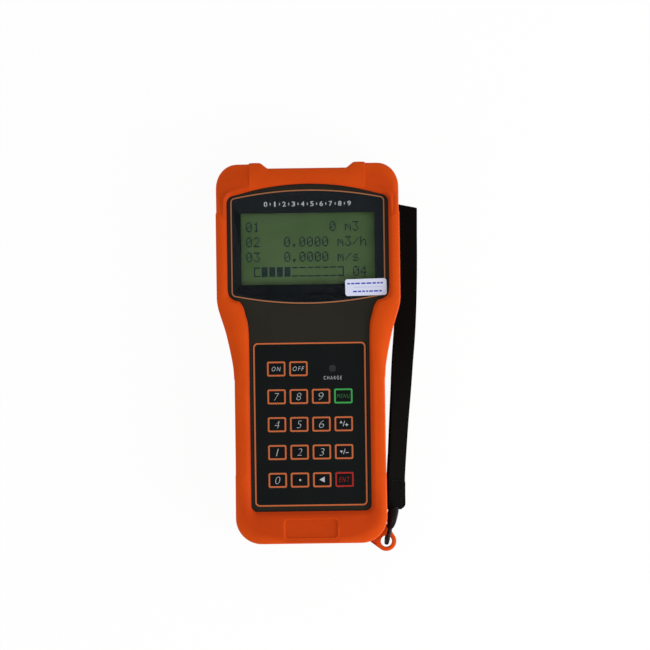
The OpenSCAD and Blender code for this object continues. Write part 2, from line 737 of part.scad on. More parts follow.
module socket_nuts() color(metal)
    for (s = [-1, 1]) at_socket(s)
        translate([0, end_y - case_wall - socket_nut_t, 0]) along_y() difference() {
            cylinder(r = socket_ring_r, h = socket_nut_t, $fn = 6);
            translate([0, 0, -over]) cylinder(r = socket_r + seat, h = socket_nut_t + 2 * over, $fn = fine);
        }

contact_r = 0.5;
contact_ring_share = 0.5;
contacts = 4;
insert_len_y = socket_len - socket_deep;
module socket_inserts() color([0.85, 0.83, 0.78])
    for (s = [-1, 1]) at_socket(s) translate([0, end_y - case_wall - socket_tail, 0]) along_y() difference() {
        cylinder(r = socket_bore / 2 - socket_step - seat, h = insert_len_y, $fn = fine);
        for (i = [0:contacts - 1]) rotate(i * 360 / contacts)
            translate([contact_ring_share * socket_bore / 2, 0, insert_len_y - over])
                cylinder(r = contact_r, h = 2 * over, $fn = fine);
    }

jack_wall = 1.1;
jack_pin_r = 1;
jack_r = jack_bore / 2 + jack_wall;
jack_nose = 1.5;
jack_flange_over = 0.6;
jack_tail = 9;
jack_deep = 8;
module charger_jack() color(plain_black)
    translate([0, end_y - case_wall - jack_tail, port_z]) along_y() {
        difference() {
            union() {
                cylinder(r = jack_r, h = jack_tail + case_wall + jack_nose, $fn = fine);
                translate([0, 0, jack_tail + case_wall])
                    cylinder(r = jack_r + jack_flange_over, h = jack_nose, $fn = fine);
            }
            translate([0, 0, jack_tail + case_wall + jack_nose - jack_deep])
                cylinder(d = jack_bore, h = jack_deep + over, $fn = fine);
        }
        translate([0, 0, over]) cylinder(r = jack_pin_r, h = jack_tail + case_wall - over, $fn = fine);
    }

pin_hole_r = 0.55;
port_pins = [5, 4];
port_pin_pitch = 2.77;
port_row_gap = 2.84;
port_hole_w = port_nose_w - 2 * port_rim;
port_hole_h = port_nose_h - 2 * port_rim;
port_hole_r = port_nose_r - port_rim;
port_body_w = port_nose_w + 2 * port_body_over;
module serial_port() color(metal)
    translate([0, foot_end_y, port_z]) along_y() difference() {
        union() {
            rounded_box(port_nose_w, port_nose_h, port_nose_r, port_nose);
            translate([0, 0, port_nose]) rounded_box(port_w, port_h, port_r, port_flange_t);
        }
        translate([0, 0, -over])
            rounded_box(port_hole_w, port_hole_h, port_hole_r, port_nose + port_flange_t + 2 * over);
        for (s = [-1, 1]) translate([s * port_screw_pitch / 2, 0, port_nose - over])
            cylinder(r = screw_r, h = port_flange_t + 2 * over, $fn = fine);
    }

module serial_insert() color(plain_black)
    translate([0, foot_end_y, port_z]) along_y() difference() {
        union() {
            translate([0, 0, seat]) rounded_box(
                port_hole_w - 2 * port_slack, port_hole_h - 2 * port_slack, port_hole_r - port_slack,
                port_nose + port_flange_t
            );
            translate([0, 0, port_nose + port_flange_t])
                rounded_box(port_body_w, port_h - port_body_over, port_nose_r, port_body);
        }
        for (r = [0, 1], i = [0:port_pins[r] - 1])
            translate([(i - (port_pins[r] - 1) / 2) * port_pin_pitch, (1 - 2 * r) * port_row_gap / 2, -over])
                cylinder(r = pin_hole_r, h = port_nose, $fn = fine);
    }

stud_len = 4;
stud_hole_r = 1.3;
module jack_screws() color(metal)
    for (s = [-1, 1]) translate([s * port_screw_pitch / 2, foot_end_y, port_z]) along_y() difference() {
        union() {
            cylinder(r = port_screw_r, h = port_nose, $fn = 6);
            translate([0, 0, port_nose]) cylinder(r = screw_r - seat, h = stud_len, $fn = fine);
        }
        translate([0, 0, -over]) cylinder(r = stud_hole_r, h = port_nose, $fn = fine);
    }

// Battery: three cells side by side in a tray on the floor of the rear shell
cells = 3;
cell_gap = 0.8;
tray_t = 1.2;
tray_end = 1.6;
contact_t = 0.4;
cell_button_t = 0.8;
cell_button_share = 0.5;
tray_wall_share = 0.7;
contact_shares = [0.8, 0.6];
cell_pitch = cell_d + cell_gap;
tray_w = cells * cell_pitch + 2 * tray_end;
tray_len = cell_len + 2 * (tray_end + contact_t + seat);
battery_gap = 7.65;
battery_up = case_in + port_nose + port_flange_t + port_body + battery_gap + tray_len / 2;
cell_z = floor_z + tray_t + seat + cell_d / 2;
function cell_x(i) = (i - (cells - 1) / 2) * cell_pitch;
module battery_cells() color([0.2, 0.35, 0.3])
    for (i = [0:cells - 1]) translate([cell_x(i), up(battery_up) - cell_len / 2, cell_z])
        along_y() {
            cylinder(d = cell_d, h = cell_len - cell_button_t, $fn = fine);
            cylinder(d = cell_d * cell_button_share, h = cell_len, $fn = fine);
        }

module battery_holder() color(plain_black)
    translate([0, up(battery_up), floor_z]) difference() {
        translate([-tray_w / 2, -tray_len / 2, 0]) cube([tray_w, tray_len, cell_d * tray_wall_share]);
        translate([-tray_w / 2 + tray_end, -tray_len / 2 + tray_end, tray_t])
            cube([tray_w - 2 * tray_end, tray_len - 2 * tray_end, cell_d]);
    }

module battery_contacts() color(metal)
    for (i = [0:cells - 1], s = [-1, 1])
        translate([cell_x(i), up(battery_up) + s * (cell_len + contact_t + seat) / 2, cell_z])
            cube([cell_d * contact_shares[0], contact_t, cell_d * contact_shares[1]], center = true);

slot_w = 0.8;
slot_deep = 1;
module case_screws() color(metal)
    for (p = bosses) translate([each p, case_z0 + head_pit - screw_head_t]) difference() {
        union() {
            cylinder(r = screw_head_r, h = screw_head_t, $fn = fine);
            cylinder(r = screw_r, h = part_z + insert_len - case_z0 - head_pit + screw_head_t, $fn = fine);
        }
        for (a = [0, 90]) rotate(a) cube([screw_head_r, slot_w, 2 * slot_deep], center = true);
    }

module screw_inserts() color([0.8, 0.65, 0.3])
    for (p = bosses) translate([each p, part_z]) difference() {
        cylinder(r = insert_r, h = insert_len, $fn = fine);
        translate([0, 0, -over]) cylinder(r = screw_r + insert_slack, h = insert_len + 2 * over, $fn = fine);
    }

module board_screws() color(metal)
    for (p = posts) translate([each p, board_z - post_screw_deep + over]) {
        cylinder(r = post_screw_r, h = post_screw_deep - over + board_t, $fn = fine);
        translate([0, 0, post_screw_deep - over + board_t])
            cylinder(r = post_head_r, h = post_head_t, $fn = fine);
    }

// Strap: a folded loop of webbing beside the boot, tied to the eyelet by a cord loop
// Middle of the folded webbing: [x, y, z, lean in degrees], chosen by hand from end to fold
webbing_route = [
    [47.5, -82.6, 5.3, 40], [47.7, -69, 5.3, 41], [48.6, -53.5, 5.2, 39], [49.8, -36, 4.7, 34],
    [51.1, -19, 4.1, 26], [52.3, -2, 3, 14], [53.6, 13, 1.9, 4], [54.6, 30, 1.5, 0],
    [55.2, 50, 1.5, 0], [55.4, 68, 1.5, 0], [55.6, 83.5, 1.5, 0]
];
ply_gap = 0.4;
fold_angles = [45, 90, 135];
ply_off = (strap_t + ply_gap) / 2;
function spot(p) = [p[0], p[1], p[2]];
function way(r, i) = let (d = spot(r[min(i + 1, len(r) - 1)]) - spot(r[max(i - 1, 0)])) d / norm(d);
function across(r, i) = let (
    t = way(r, i), w = [-cos(r[i][3]), 0, sin(r[i][3])], p = w - (w * t) * t
) p / norm(p);
function ribbon(c, w, n) = [
    c + w * strap_w / 2 + n * strap_t / 2, c - w * strap_w / 2 + n * strap_t / 2,
    c - w * strap_w / 2 - n * strap_t / 2, c + w * strap_w / 2 - n * strap_t / 2
];
function ply(r, i, side) = let (w = across(r, i), n = side * cross(way(r, i), w))
    ribbon(spot(r[i]) + n * ply_off, w, n);
function fold(r, i, a) = let (
    t = way(r, i), w = across(r, i), n = cross(t, w) * cos(a) + t * sin(a)
) ribbon(spot(r[i]) + n * ply_off, w, n);
function webbing_rings(r) = let (last = len(r) - 1) concat(
    [for (i = [0:last]) ply(r, i, 1)],
    [for (a = fold_angles) fold(r, last, a)],
    [for (i = [last:-1:0]) ply(r, i, -1)]
);
// A rounder line through the same points, by the four-point rule
near_share = 9 / 16;
far_share = 1 / 16;
function rounder(r) = [for (i = [0:len(r) - 2]) each [
    r[i], near_share * (r[i] + r[i + 1]) - far_share * (r[max(i - 1, 0)] + r[min(i + 2, len(r) - 1)])
], r[len(r) - 1]];

module swept_tube(rings) {
    n = len(rings);
    m = len(rings[0]);
    points = [for (s = rings) each s];
    faces = concat(
        [[for (j = [0:m - 1]) j]],
        [[for (j = [m - 1:-1:0]) (n - 1) * m + j]],
        [for (i = [0:n - 2], j = [0:m - 1]) let (k = (j + 1) % m, a = i * m, b = a + m) each
            [[a + j, b + j, b + k], [a + j, b + k, a + k]]]
    );
    polyhedron(points, faces, convexity = 6);
}

module strap_webbing() color(plain_black) swept_tube(webbing_rings(rounder(rounder(webbing_route))));

// Middle line of the cord: from the webbing over the tab, down through the eyelet and back underneath
cord_route = [
    [45.9, -83.4, 6.7], [45.9, -86, 8.4], [45.6, -89.5, 11.8], [45, -93, 15.1], [44.2, -96, 16.9],
    [43.2, -99.6, 17.2], [42.6, -102.2, 16.5], [42.2, -104.2, 14.6], [41.9, -104.8, 12],
    [41.9, -104.2, 9.4], [42.1, -102.2, 7.5], [42.6, -99.6, 6.8], [43.2, -96.5, 6.4],
    [44.4, -93, 5.8], [45.9, -89.5, 5], [47.3, -86, 4.5], [48.1, -83.2, 4.3]
];
cord_sides = 8;
function cord_rings(r) = [for (i = [0:len(r) - 1]) let (
    t = way(r, i), x = [1, 0, 0] - t[0] * t, u = x / norm(x), v = cross(t, u)
) [for (j = [0:cord_sides - 1]) let (a = 360 * j / cord_sides)
    r[i] + cord_d / 2 * (u * cos(a) + v * sin(a))]];
module strap_cord() color(plain_black) swept_tube(cord_rings(cord_route));

protective_boot();
front_shell();
rear_shell();
shell_gasket();
screen_panel();
screen_lens();
screen_film();
film_tab();
keypad_overlay();
keypad_spacer();
keypad_circuit();
key_domes();
key_on();
key_off();
key_7();
key_8();
key_9();
key_menu();
key_4();
key_5();
key_6();
key_up();
key_1();
key_2();
key_3();
key_down();
key_0();
key_point();
key_left();
key_enter();
charge_led();
lcd_glass();
lcd_bezel();
lcd_backlight();
lcd_board();
lcd_header();
main_board();
board_chips();
keypad_tail();
buzzer();
upstream_socket();
downstream_socket();
upstream_ring();
downstream_ring();
socket_nuts();
socket_inserts();
charger_jack();
serial_port();
serial_insert();
jack_screws();
battery_cells();
battery_holder();
battery_contacts();
case_screws();
board_screws();
screw_inserts();
strap_webbing();
strap_cord();
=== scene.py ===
"""Dresses a handheld ultrasonic flow meter: rubber boot, printed panels, display and wrist strap.

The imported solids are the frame. Sizes here are in millimetres and turn into metres when a mesh is made.
"""

import logging
import math
from dataclasses import dataclass, field
from enum import Enum
from typing import Callable, Iterable, Sequence

import bpy
from mathutils import Matrix


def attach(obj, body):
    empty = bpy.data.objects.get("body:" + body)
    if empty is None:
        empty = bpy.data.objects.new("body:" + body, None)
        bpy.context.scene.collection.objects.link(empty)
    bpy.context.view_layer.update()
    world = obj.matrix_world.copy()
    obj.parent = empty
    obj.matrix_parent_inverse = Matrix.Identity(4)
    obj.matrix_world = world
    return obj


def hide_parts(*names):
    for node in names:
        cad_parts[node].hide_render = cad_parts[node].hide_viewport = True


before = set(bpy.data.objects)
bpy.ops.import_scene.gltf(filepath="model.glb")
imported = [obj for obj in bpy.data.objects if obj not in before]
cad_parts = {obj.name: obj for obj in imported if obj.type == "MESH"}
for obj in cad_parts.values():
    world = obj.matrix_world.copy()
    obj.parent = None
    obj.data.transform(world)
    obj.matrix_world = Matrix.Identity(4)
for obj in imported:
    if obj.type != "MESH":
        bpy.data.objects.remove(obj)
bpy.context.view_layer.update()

MM = 0.001
MERGE = 1e-7
ARC_STEPS = 8
LOG = logging.getLogger("meter")

Point = tuple[float, float, float]
Flat = tuple[float, float]
Colour = tuple[float, float, float, float]


def shade(text: str) -> Colour:
    """Turns a picture colour into light values.

    Args:
        text: A colour such as "d8440f".

    Returns:
        Linear red, green and blue with an alpha of 1.
    """
    parts = [int(text[i:i + 2], 16) / 255 for i in (0, 2, 4)]
    light = [p / 12.92 if p <= 0.04045 else ((p + 0.055) / 1.055) ** 2.4 for p in parts]
    return (light[0], light[1], light[2], 1.0)


# Materials


class Wire:
    """One output of a node, on which arithmetic adds Math nodes."""

    def __init__(self, recipe: "NodeTree", socket: bpy.types.NodeSocket) -> None:
        """Keeps the recipe and the socket."""
        self.recipe = recipe
        self.socket = socket

    def math(self, operation: str, *others: "Wire | float") -> "Wire":
        """Adds one Math node, with this wire on its first input and the others after it."""
        sockets = dict(enumerate([self, *others]))
        return self.recipe.node("ShaderNodeMath", {"operation": operation}, sockets)

    def __add__(self, other: "Wire | float") -> "Wire":
        """Sum."""
        return self.math("ADD", other)

    def __mul__(self, other: "Wire | float") -> "Wire":
        """Product."""
        return self.math("MULTIPLY", other)

    def __sub__(self, other: "Wire | float") -> "Wire":
        """Difference."""
        return self.math("SUBTRACT", other)

    def __abs__(self) -> "Wire":
        """Size without sign."""
        return self.math("ABSOLUTE")

    def sine(self) -> "Wire":
        """Sine of an angle in radians."""
        return self.math("SINE")

    def clamped(self) -> "Wire":
        """Held between 0 and 1."""
        return self.math("MAXIMUM", 0.0).math("MINIMUM", 1.0)


class NodeTree:
    """An emptied node tree, into which nodes go by one method."""

    def __init__(self, owner: "bpy.types.Material | bpy.types.World") -> None:
        """Turns on the owner's nodes and clears them."""
        owner.use_nodes = True
        self.tree = owner.node_tree
        self.tree.nodes.clear()

    def node(self, kind: str, settings: dict, sockets: dict, result: "str | int" = 0) -> Wire:
        """Adds a node.

        Args:
            kind: The node's type.
            settings: Its settings, or "stops" for a ramp: a list of place and colour.
            sockets: A value or wire for each input, by name or number.
            result: The output to hand back.

        Returns:
            The chosen output.
        """
        made = self.tree.nodes.new(kind)
        for key, value in settings.items():
            if key == "stops":
                ramp = made.color_ramp
                while len(ramp.elements) < len(value):
                    ramp.elements.new(0.5)
                for element, (place, colour) in zip(ramp.elements, value):
                    element.position = place
                    element.color = colour
            else:
                setattr(made, key, value)
        for key, value in sockets.items():
            self.plug(made.inputs[key], value)
        return Wire(self, made.outputs[result] if made.outputs else None)

    def plug(self, target: bpy.types.NodeSocket, value: "Wire | float | Sequence[float]") -> None:
        """Links a wire to an input, or sets the input's own value."""
        if isinstance(value, Wire):
            self.tree.links.new(value.socket, target)
        else:
            target.default_value = value

    def rays(self) -> Wire:
        """1 where the camera sees the surface straight, in a gloss or through glass, and 0 elsewhere."""
        kinds = ("Is Camera Ray", "Is Glossy Ray", "Is Transmission Ray")
        camera, gloss, clear = (self.node("ShaderNodeLightPath", {}, {}, kind) for kind in kinds)
        return (camera + gloss + clear).clamped()


class Recipe(NodeTree):
    """The node tree of one material."""

    def __init__(self, name: str) -> None:
        """Makes a material with a Principled shader."""
        self.material = bpy.data.materials.new(name)
        super().__init__(self.material)
        shader = self.node("ShaderNodeBsdfPrincipled", {}, {})
        self.shader = shader.socket.node
        self.surface(shader)

    def surface(self, shader: Wire) -> None:
        """Makes a shader the material's surface."""
        found = self.tree.nodes.get("surface")
        if found:
            self.plug(found.inputs["Surface"], shader)
        else:
            self.node("ShaderNodeOutputMaterial", {"name": "surface"}, {"Surface": shader})

    def set(self, **values: "Wire | float | Sequence[float]") -> None:
        """Sets the shader's inputs, with _ for a space in a name."""
        for key, value in values.items():
            self.plug(self.shader.inputs[key.replace("_", " ")], value)

    def place(self) -> Wire:
        """The point on the object, in metres."""
        return self.node("ShaderNodeTexCoord", {}, {}, "Object")

    def attribute(self, name: str) -> Wire:
        """A number that the mesh carries."""
        return self.node("ShaderNodeAttribute", {"attribute_name": name}, {}, "Fac")

    def noise(self, scale: float, detail: float = 3.0, stretch: Point = (1, 1, 1)) -> Wire:
        """Soft noise with that many cells to the metre, drawn out by stretch."""
        spot = self.node("ShaderNodeMapping", {}, {"Vector": self.place(), "Scale": stretch})
        return self.node("ShaderNodeTexNoise", {}, {"Vector": spot, "Scale": scale, "Detail": detail})

    def blend(self, first: "Wire | Colour", second: "Wire | Colour", share: "Wire | float") -> Wire:
        """Goes from the first colour to the second by a share."""
        return self.node("ShaderNodeMix", {"data_type": "RGBA"}, {6: first, 7: second, 0: share}, 2)

    def bump(self, height: Wire, depth: float) -> None:
        """Raises the surface by a height of 0 to 1, times a depth in millimetres."""
        normal = self.node(
            "ShaderNodeBump", {}, {"Height": height, "Distance": depth * MM, "Strength": 1.0}
        )
        self.plug(self.shader.inputs["Normal"], normal)


@dataclass(frozen=True)
class Finish:
    """What every finish has: its name, its two colours and its roughness."""

    name: str
    colour: str
    second: str
    roughness: float = 0.5

    def material(self) -> bpy.types.Material:
        """Makes the material once, and hands back the same one later."""
        label = f"{self.name}_finish"
        found = bpy.data.materials.get(label)
        if found:
            return found
        recipe = Recipe(label)
        self.mix(recipe)
        return recipe.material

    def tint(self, recipe: Recipe, share: Wire) -> Wire:
        """Goes from the first colour to the second by a share."""
        return recipe.blend(shade(self.colour), shade(self.second), share)

    def rough(self, share: Wire, spread: float) -> Wire:
        """The roughness, varied by half a spread to both sides."""
        return share * spread + (self.roughness - spread / 2)

    def mix(self, recipe: Recipe) -> None:
        """Sets the shader's inputs; every finish has its own way."""
        raise NotImplementedError


@dataclass(frozen=True)
class Rubber(Finish):
    """Moulded rubber: a silky skin with fine grain, with painted shade where the mesh carries it."""

    grain: float = 0.02
    # A deep red painted shadow colour, for the tab's root under the boot and the foot of the window's
    # edge.
    deep: str = "9a2409"
    scuff: str = "7a2808"
    scuffs: float = 0.10
    scuff_range: Flat = (0.56, 0.80)
    specular: float = 0.05

    def mix(self, recipe: Recipe) -> None:
        """Adds grain and handling marks, and painted shade on the foot, the top end, the inner slope and
        under the lip; the set-back corners are painted darker too.
        """
        cloud = recipe.noise(35, 5)
        start, end = self.scuff_range
        marks = recipe.node(
            "ShaderNodeValToRGB", {"stops": [(start, (0, 0, 0, 1)), (end, (1, 1, 1, 1))]},
            {"Fac": recipe.noise(220, 6)},
        )
        # The mesh's number is painted shade: it moves the colour towards the darker second colour, and
        # near 1 towards the deep painted shadow red.
        soil = recipe.attribute("soil")
        base = self.tint(recipe, (cloud * 0.7 + soil).clamped())
        base = recipe.blend(base, shade(self.deep), (soil * 6.0 - 5.0).clamped())
        recipe.set(
            Base_Color=recipe.blend(base, shade(self.scuff), marks * self.scuffs),
            Roughness=self.rough(cloud, 0.10) + marks * 0.08,
            Specular_IOR_Level=self.specular,
        )
        recipe.bump(recipe.noise(2600, 2) * 0.7 + recipe.noise(500, 2) * 0.3, self.grain)


@dataclass(frozen=True)
class Moulded(Finish):
    """Moulded plastic with a sparked grain."""

    grain: float = 0.015
    specular: float = 0.4
    pits_per_metre: float = 2200.0

    def mix(self, recipe: Recipe) -> None:
        """Adds the grain and faint streaks."""
        cloud = recipe.noise(60, 5)
        pits = recipe.node(
            "ShaderNodeTexVoronoi", {"feature": "F1"},
            {"Vector": recipe.place(), "Scale": self.pits_per_metre}, "Distance",
        )
        recipe.set(
            Base_Color=self.tint(recipe, cloud),
            Roughness=self.rough(cloud, 0.14),
            Specular_IOR_Level=self.specular,
        )
        recipe.bump(pits, self.grain)


@dataclass(frozen=True)
class PrintedSheet(Finish):
    """Back-printed polyester sheet: an even dark colour under a satin face."""

    peel: float = 0.004
    specular: float = 0.06

    def mix(self, recipe: Recipe) -> None:
        """Adds the sheet's faint orange-peel."""
        recipe.set(
            Base_Color=self.tint(recipe, recipe.noise(28, 3)),
            Roughness=self.rough(recipe.noise(140, 3), 0.12),
            Specular_IOR_Level=self.specular,
        )
        recipe.bump(recipe.noise(900, 2), self.peel)


@dataclass(frozen=True)
class Ink(Finish):
    """Screen-printed ink, a little uneven in its film."""

    specular: float = 0.15

    def mix(self, recipe: Recipe) -> None:
        """Adds thin places in the film."""
        film = recipe.noise(1400, 3)
        recipe.set(
            Base_Color=self.tint(recipe, film),
            Roughness=film * 0.1 + self.roughness,
            Specular_IOR_Level=self.specular,
        )


@dataclass(frozen=True)
class Clear(Finish):
    """Clear plastic that shows mostly by its gloss and its haze."""

    haze: float = 0.1
    specular: float = 0.5
    smear_stretch: Point = (1, 2.2, 1)

    def mix(self, recipe: Recipe) -> None:
        """Adds smears that are hardly seen."""
        smear = recipe.noise(24, 4, self.smear_stretch)
        recipe.set(
            Base_Color=self.tint(recipe, smear),
            Roughness=smear * 0.1 + self.roughness,
            Alpha=smear * self.haze + self.haze * 0.5,
            Specular_IOR_Level=self.specular,
        )


@dataclass(frozen=True)
class Metal(Finish):
    """Plated or turned metal with fine scratches."""

    brushed: Point = (1.0, 1.0, 1.0)
    scratch_depth: float = 0.004

    def mix(self, recipe: Recipe) -> None:
        """Adds scratches to its roughness and relief."""
        scratch = recipe.noise(900, 4, self.brushed)
        recipe.set(
            Base_Color=self.tint(recipe, recipe.noise(160, 4)),
            Roughness=self.rough(scratch, 0.18),
            Metallic=1.0,
        )
        recipe.bump(scratch, self.scratch_depth)


@dataclass(frozen=True)
class Laminate(Finish):
    """Circuit board: solder mask over fine tracks."""

    gap: str = "2f6b4a"
    gap_width: float = 0.03
    row_shift: float = 0.37
    rows_per_metre: float = 260.0

    def mix(self, recipe: Recipe) -> None:
        """Adds tracks as a bonded pattern of two greens with paler gaps."""
        tracks = recipe.node(
            "ShaderNodeTexBrick", {"offset": self.row_shift},
            {
                "Vector": recipe.place(), "Scale": self.rows_per_metre, "Mortar Size": self.gap_width,
                "Color1": shade(self.colour), "Color2": shade(self.second), "Mortar": shade(self.gap),
            },
        )
        recipe.set(Base_Color=tracks, Roughness=recipe.noise(300) * 0.1 + self.roughness)


@dataclass(frozen=True)
class LiquidCrystal(Finish):
    """Yellow-green display glass, lit unevenly from its edge."""

    dim: str = "45543a"
    dimness: float = 0.35
    specular: float = 0.2

    def mix(self, recipe: Recipe) -> None:
        """Adds broad clouds of green with finer dim patches over them."""
        wide = recipe.noise(34, 2)
        fine = recipe.noise(160, 3)
        base = self.tint(recipe, (wide * 2.4 - 0.7).clamped())
        recipe.set(
            Base_Color=recipe.blend(base, shade(self.dim), (fine * 1.6 - 0.6).clamped() * self.dimness),
            Roughness=fine * 0.08 + self.roughness,
            Specular_IOR_Level=self.specular,
        )


@dataclass(frozen=True)
class Weave(Finish):
    """Flat woven webbing. The mesh carries how far along and across the tape a point is."""

    rib: float = 0.62
    pick: float = 0.9
    depth: float = 0.16
    specular: float = 0.03

    def mix(self, recipe: Recipe) -> None:
        """Adds warp ribs crossed by picks that step sideways from rib to rib, with painted shade in the
        gaps between them.
        """
        run = recipe.attribute("run")
        side = recipe.attribute("side")
        ribs = abs((side * (math.pi / self.rib)).sine())
        number = (side * (1 / self.rib)).math("FLOOR")
        picks = abs((run * (math.pi / self.pick) + number * (math.pi / 2)).sine())
        height = ribs.math("POWER", 0.6) * (picks * 0.6 + 0.4)
        fluff = recipe.noise(1500, 4)
        # Painted shade: the gaps between ribs and picks are coloured darker than their crowns.
        recipe.set(
            Base_Color=self.tint(recipe, height * 0.7 + fluff * 0.3),
            Roughness=self.rough(fluff, 0.2),
            Specular_IOR_Level=self.specular,
        )
        recipe.bump(height, self.depth)


@dataclass(frozen=True)
class Braid(Finish):
    """Braided cord, whose relief is in the mesh; the finish adds its fine threads."""

    threads_round: float = 36.0
    thread_slant: float = 5.0
    depth: float = 0.05
    specular: float = 0.14

    def mix(self, recipe: Recipe) -> None:
        """Adds threads that run with each strand, and painted shade in the grooves between strands."""
        run = recipe.attribute("run")
        side = recipe.attribute("side")
        threads = (side * self.threads_round + run * self.thread_slant).sine() * 0.5 + 0.5
        # Painted shade: the grooves between strands are coloured darker than the strands' crowns.
        lift = recipe.attribute("lift")
        recipe.set(
            Base_Color=self.tint(recipe, lift * 0.6 + threads * 0.3),
            Roughness=threads * 0.15 + (self.roughness - 0.1),
            Specular_IOR_Level=self.specular,
        )
        recipe.bump(threads, self.depth)


class Palette(Enum):
    """Every finish on the meter."""

    # The boot's darker second colour is also where its painted shade leads.
    BOOT = Rubber("boot_rubber", "d34c0d", "b93b0a", 0.55)
    HOUSING = Moulded("case_plastic", "211f19", "292720", 0.55, grain=0.02, specular=0.08)
    PANEL = PrintedSheet("panel_print", "11161a", "1a1f22", 0.42)
    OVERLAY = PrintedSheet("overlay_print", "0b0f0f", "121615", 0.42)
    KEY_FACE = PrintedSheet("key_print", "0a0b0c", "101213", 0.40)
    ORANGE_INK = Ink("line_ink", "c2683c", "b05a31", 0.45)
    BROWN_INK = Ink("screen_line_ink", "a86c48", "93603f", 0.45)
    GREEN_INK = Ink("green_ink", "3aa250", "2f9143", 0.45)
    DEEP_GREEN_INK = Ink("green_word_ink", "2c7a3a", "256a32", 0.45)
    RED_INK = Ink("red_ink", "a8231f", "8f1c1a", 0.45)
    PALE_INK = Ink("pale_ink", "b6bbc0", "a4a9ae", 0.45)
    LENS = Clear("window_plastic", "4a524c", "3c443e", 0.06, haze=0.014)
    FILM = Clear("film_plastic", "5c6269", "4a5058", 0.10, haze=0.012)
    TAB = Moulded("tab_print", "d6daee", "cbd0e6", 0.45, grain=0.002)
    TAB_INK = Ink("tab_ink", "2f3aa8", "4a55b8", 0.5)
    CRYSTAL = LiquidCrystal("display_glass", "335024", "475e38", 0.35)
    DOT = Ink("display_dot", "0c1c23", "13272b", 0.4)
    LAMP = Moulded("lamp_plastic", "25272a", "2d2f31", 0.5, grain=0.004, specular=0.08)
    SPACER = Moulded("sheet_plastic", "b9b9b2", "a9a9a1", 0.5)
    SPRING = Metal("spring_steel", "b9bcc0", "8f9296", 0.32)
    FRAME = Metal("display_frame", "9aa0a3", "7d8386", 0.38)
    GUIDE = Moulded("light_guide", "e4e6da", "d4d8c6", 0.3)
    BOARD = Laminate("board_laminate", "145233", "0f4229", 0.35)
    BLACK = Moulded("black_plastic", "121212", "1b1b1b", 0.45)
    NICKEL = Metal("nickel", "c6c3ba", "a5a299", 0.28, brushed=(1.0, 6.0, 1.0))
    RING_RED = Moulded("ring_red", "b01a1a", "991414", 0.4)
    RING_BLUE = Moulded("ring_blue", "1c3f9c", "183584", 0.4)
    INSERT = Moulded("insert_plastic", "d8d3c3", "cac4b2", 0.45)
    CELL = Moulded("cell_sleeve", "2f6a4c", "275a40", 0.35)
    STEEL = Metal("screw_steel", "a9abad", "86888b", 0.34)
    BRASS = Metal("insert_brass", "c79a4b", "a87f38", 0.35)
    GASKET = Moulded("gasket_rubber", "1d1d1d", "252525", 0.7)
    WEBBING = Weave("strap_weave", "040404", "0d0c0a", 0.72)
    CORD = Braid("cord_braid", "040404", "141312", 0.45)
    COLLAR = Moulded("collar_plastic", "050505", "0e0d0c", 0.45, grain=0.004, specular=0.12)
    THREAD = Moulded("sewing_thread", "0a0a09", "151513", 0.6, grain=0.01, specular=0.05)

    def coat(self, piece: bpy.types.Object, slot: str = "") -> None:
        """Gives the whole piece this finish.

        Args:
            piece: The object.
            slot: Not used.
        """
        data = piece.data
        data.materials.clear()
        data.materials.append(self.value.material())


# Mesh tools


def held(value: float) -> float:
    """The value, held between 0 and 1."""
    return min(max(value, 0.0), 1.0)


def eased(value: float) -> float:
    """The value, held between 0 and 1, with a soft start and end."""
    share = held(value)
    return share * share * (3 - 2 * share)


def arc(cx: float, cy: float, r: float, start: float, end: float, steps: int = ARC_STEPS) -> list[Flat]:
    """Points on a circle after the start angle and up to the end angle, in degrees."""
    turns = [math.radians(start + (end - start) * i / steps) for i in range(1, steps + 1)]
    return [(cx + r * math.cos(a), cy + r * math.sin(a)) for a in turns]


def rounded(width: float, height: float, r: float, steps: int = 6, at: Flat = (0, 0)) -> list[Flat]:
    """A rectangle with round corners, as a loop that starts at its lower right corner."""
    x, y = width / 2 - r, height / 2 - r
    loop: list[Flat] = []
    for cx, cy, start in ((x, -y, -90), (x, y, 0), (-x, y, 90), (-x, -y, 180)):
        corner = [(cx + r * math.cos(math.radians(start)), cy + r * math.sin(math.radians(start)))]
        loop += corner + arc(cx, cy, r, start, start + 90, steps)
    return moved(loop, at)


def raised(loop: Iterable[Flat], z: float) -> list[Point]:
    """The loop at one height."""
    return [(x, y, z) for x, y in loop]


def moved(loop: Iterable[Flat], at: Flat) -> list[Flat]:
    """The loop, moved from its own origin."""
    return [(x + at[0], y + at[1]) for x, y in loop]


def turned(loop: Iterable[Flat], degrees: float, at: Flat) -> list[Flat]:
    """The loop, turned about its own origin and then moved."""
    c, s = math.cos(math.radians(degrees)), math.sin(math.radians(degrees))
    return moved([(x * c - y * s, x * s + y * c) for x, y in loop], at)


def rounder(values: list[tuple[float, ...]], closed: bool) -> list[tuple[float, ...]]:
    """Doubles a row of points by the four-point rule, to the same curve twice as fine.

    Args:
        values: The points, each with any count of numbers.
        closed: Whether the first point follows the last.

    Returns:
        The points with a new one after each that has a next.
    """
    count = len(values)
    made: list[tuple[float, ...]] = []
    for i in range(count if closed else count - 1):
        places = [(i + k) % count if closed else min(max(i + k, 0), count - 1) for k in (-1, 0, 1, 2)]
        around = [values[place] for place in places]
        made.append(values[i])
        made.append(tuple(9 / 16 * (b + c) - 1 / 16 * (a + d) for a, b, c, d in zip(*around)))
    return made if closed else made + [values[-1]]


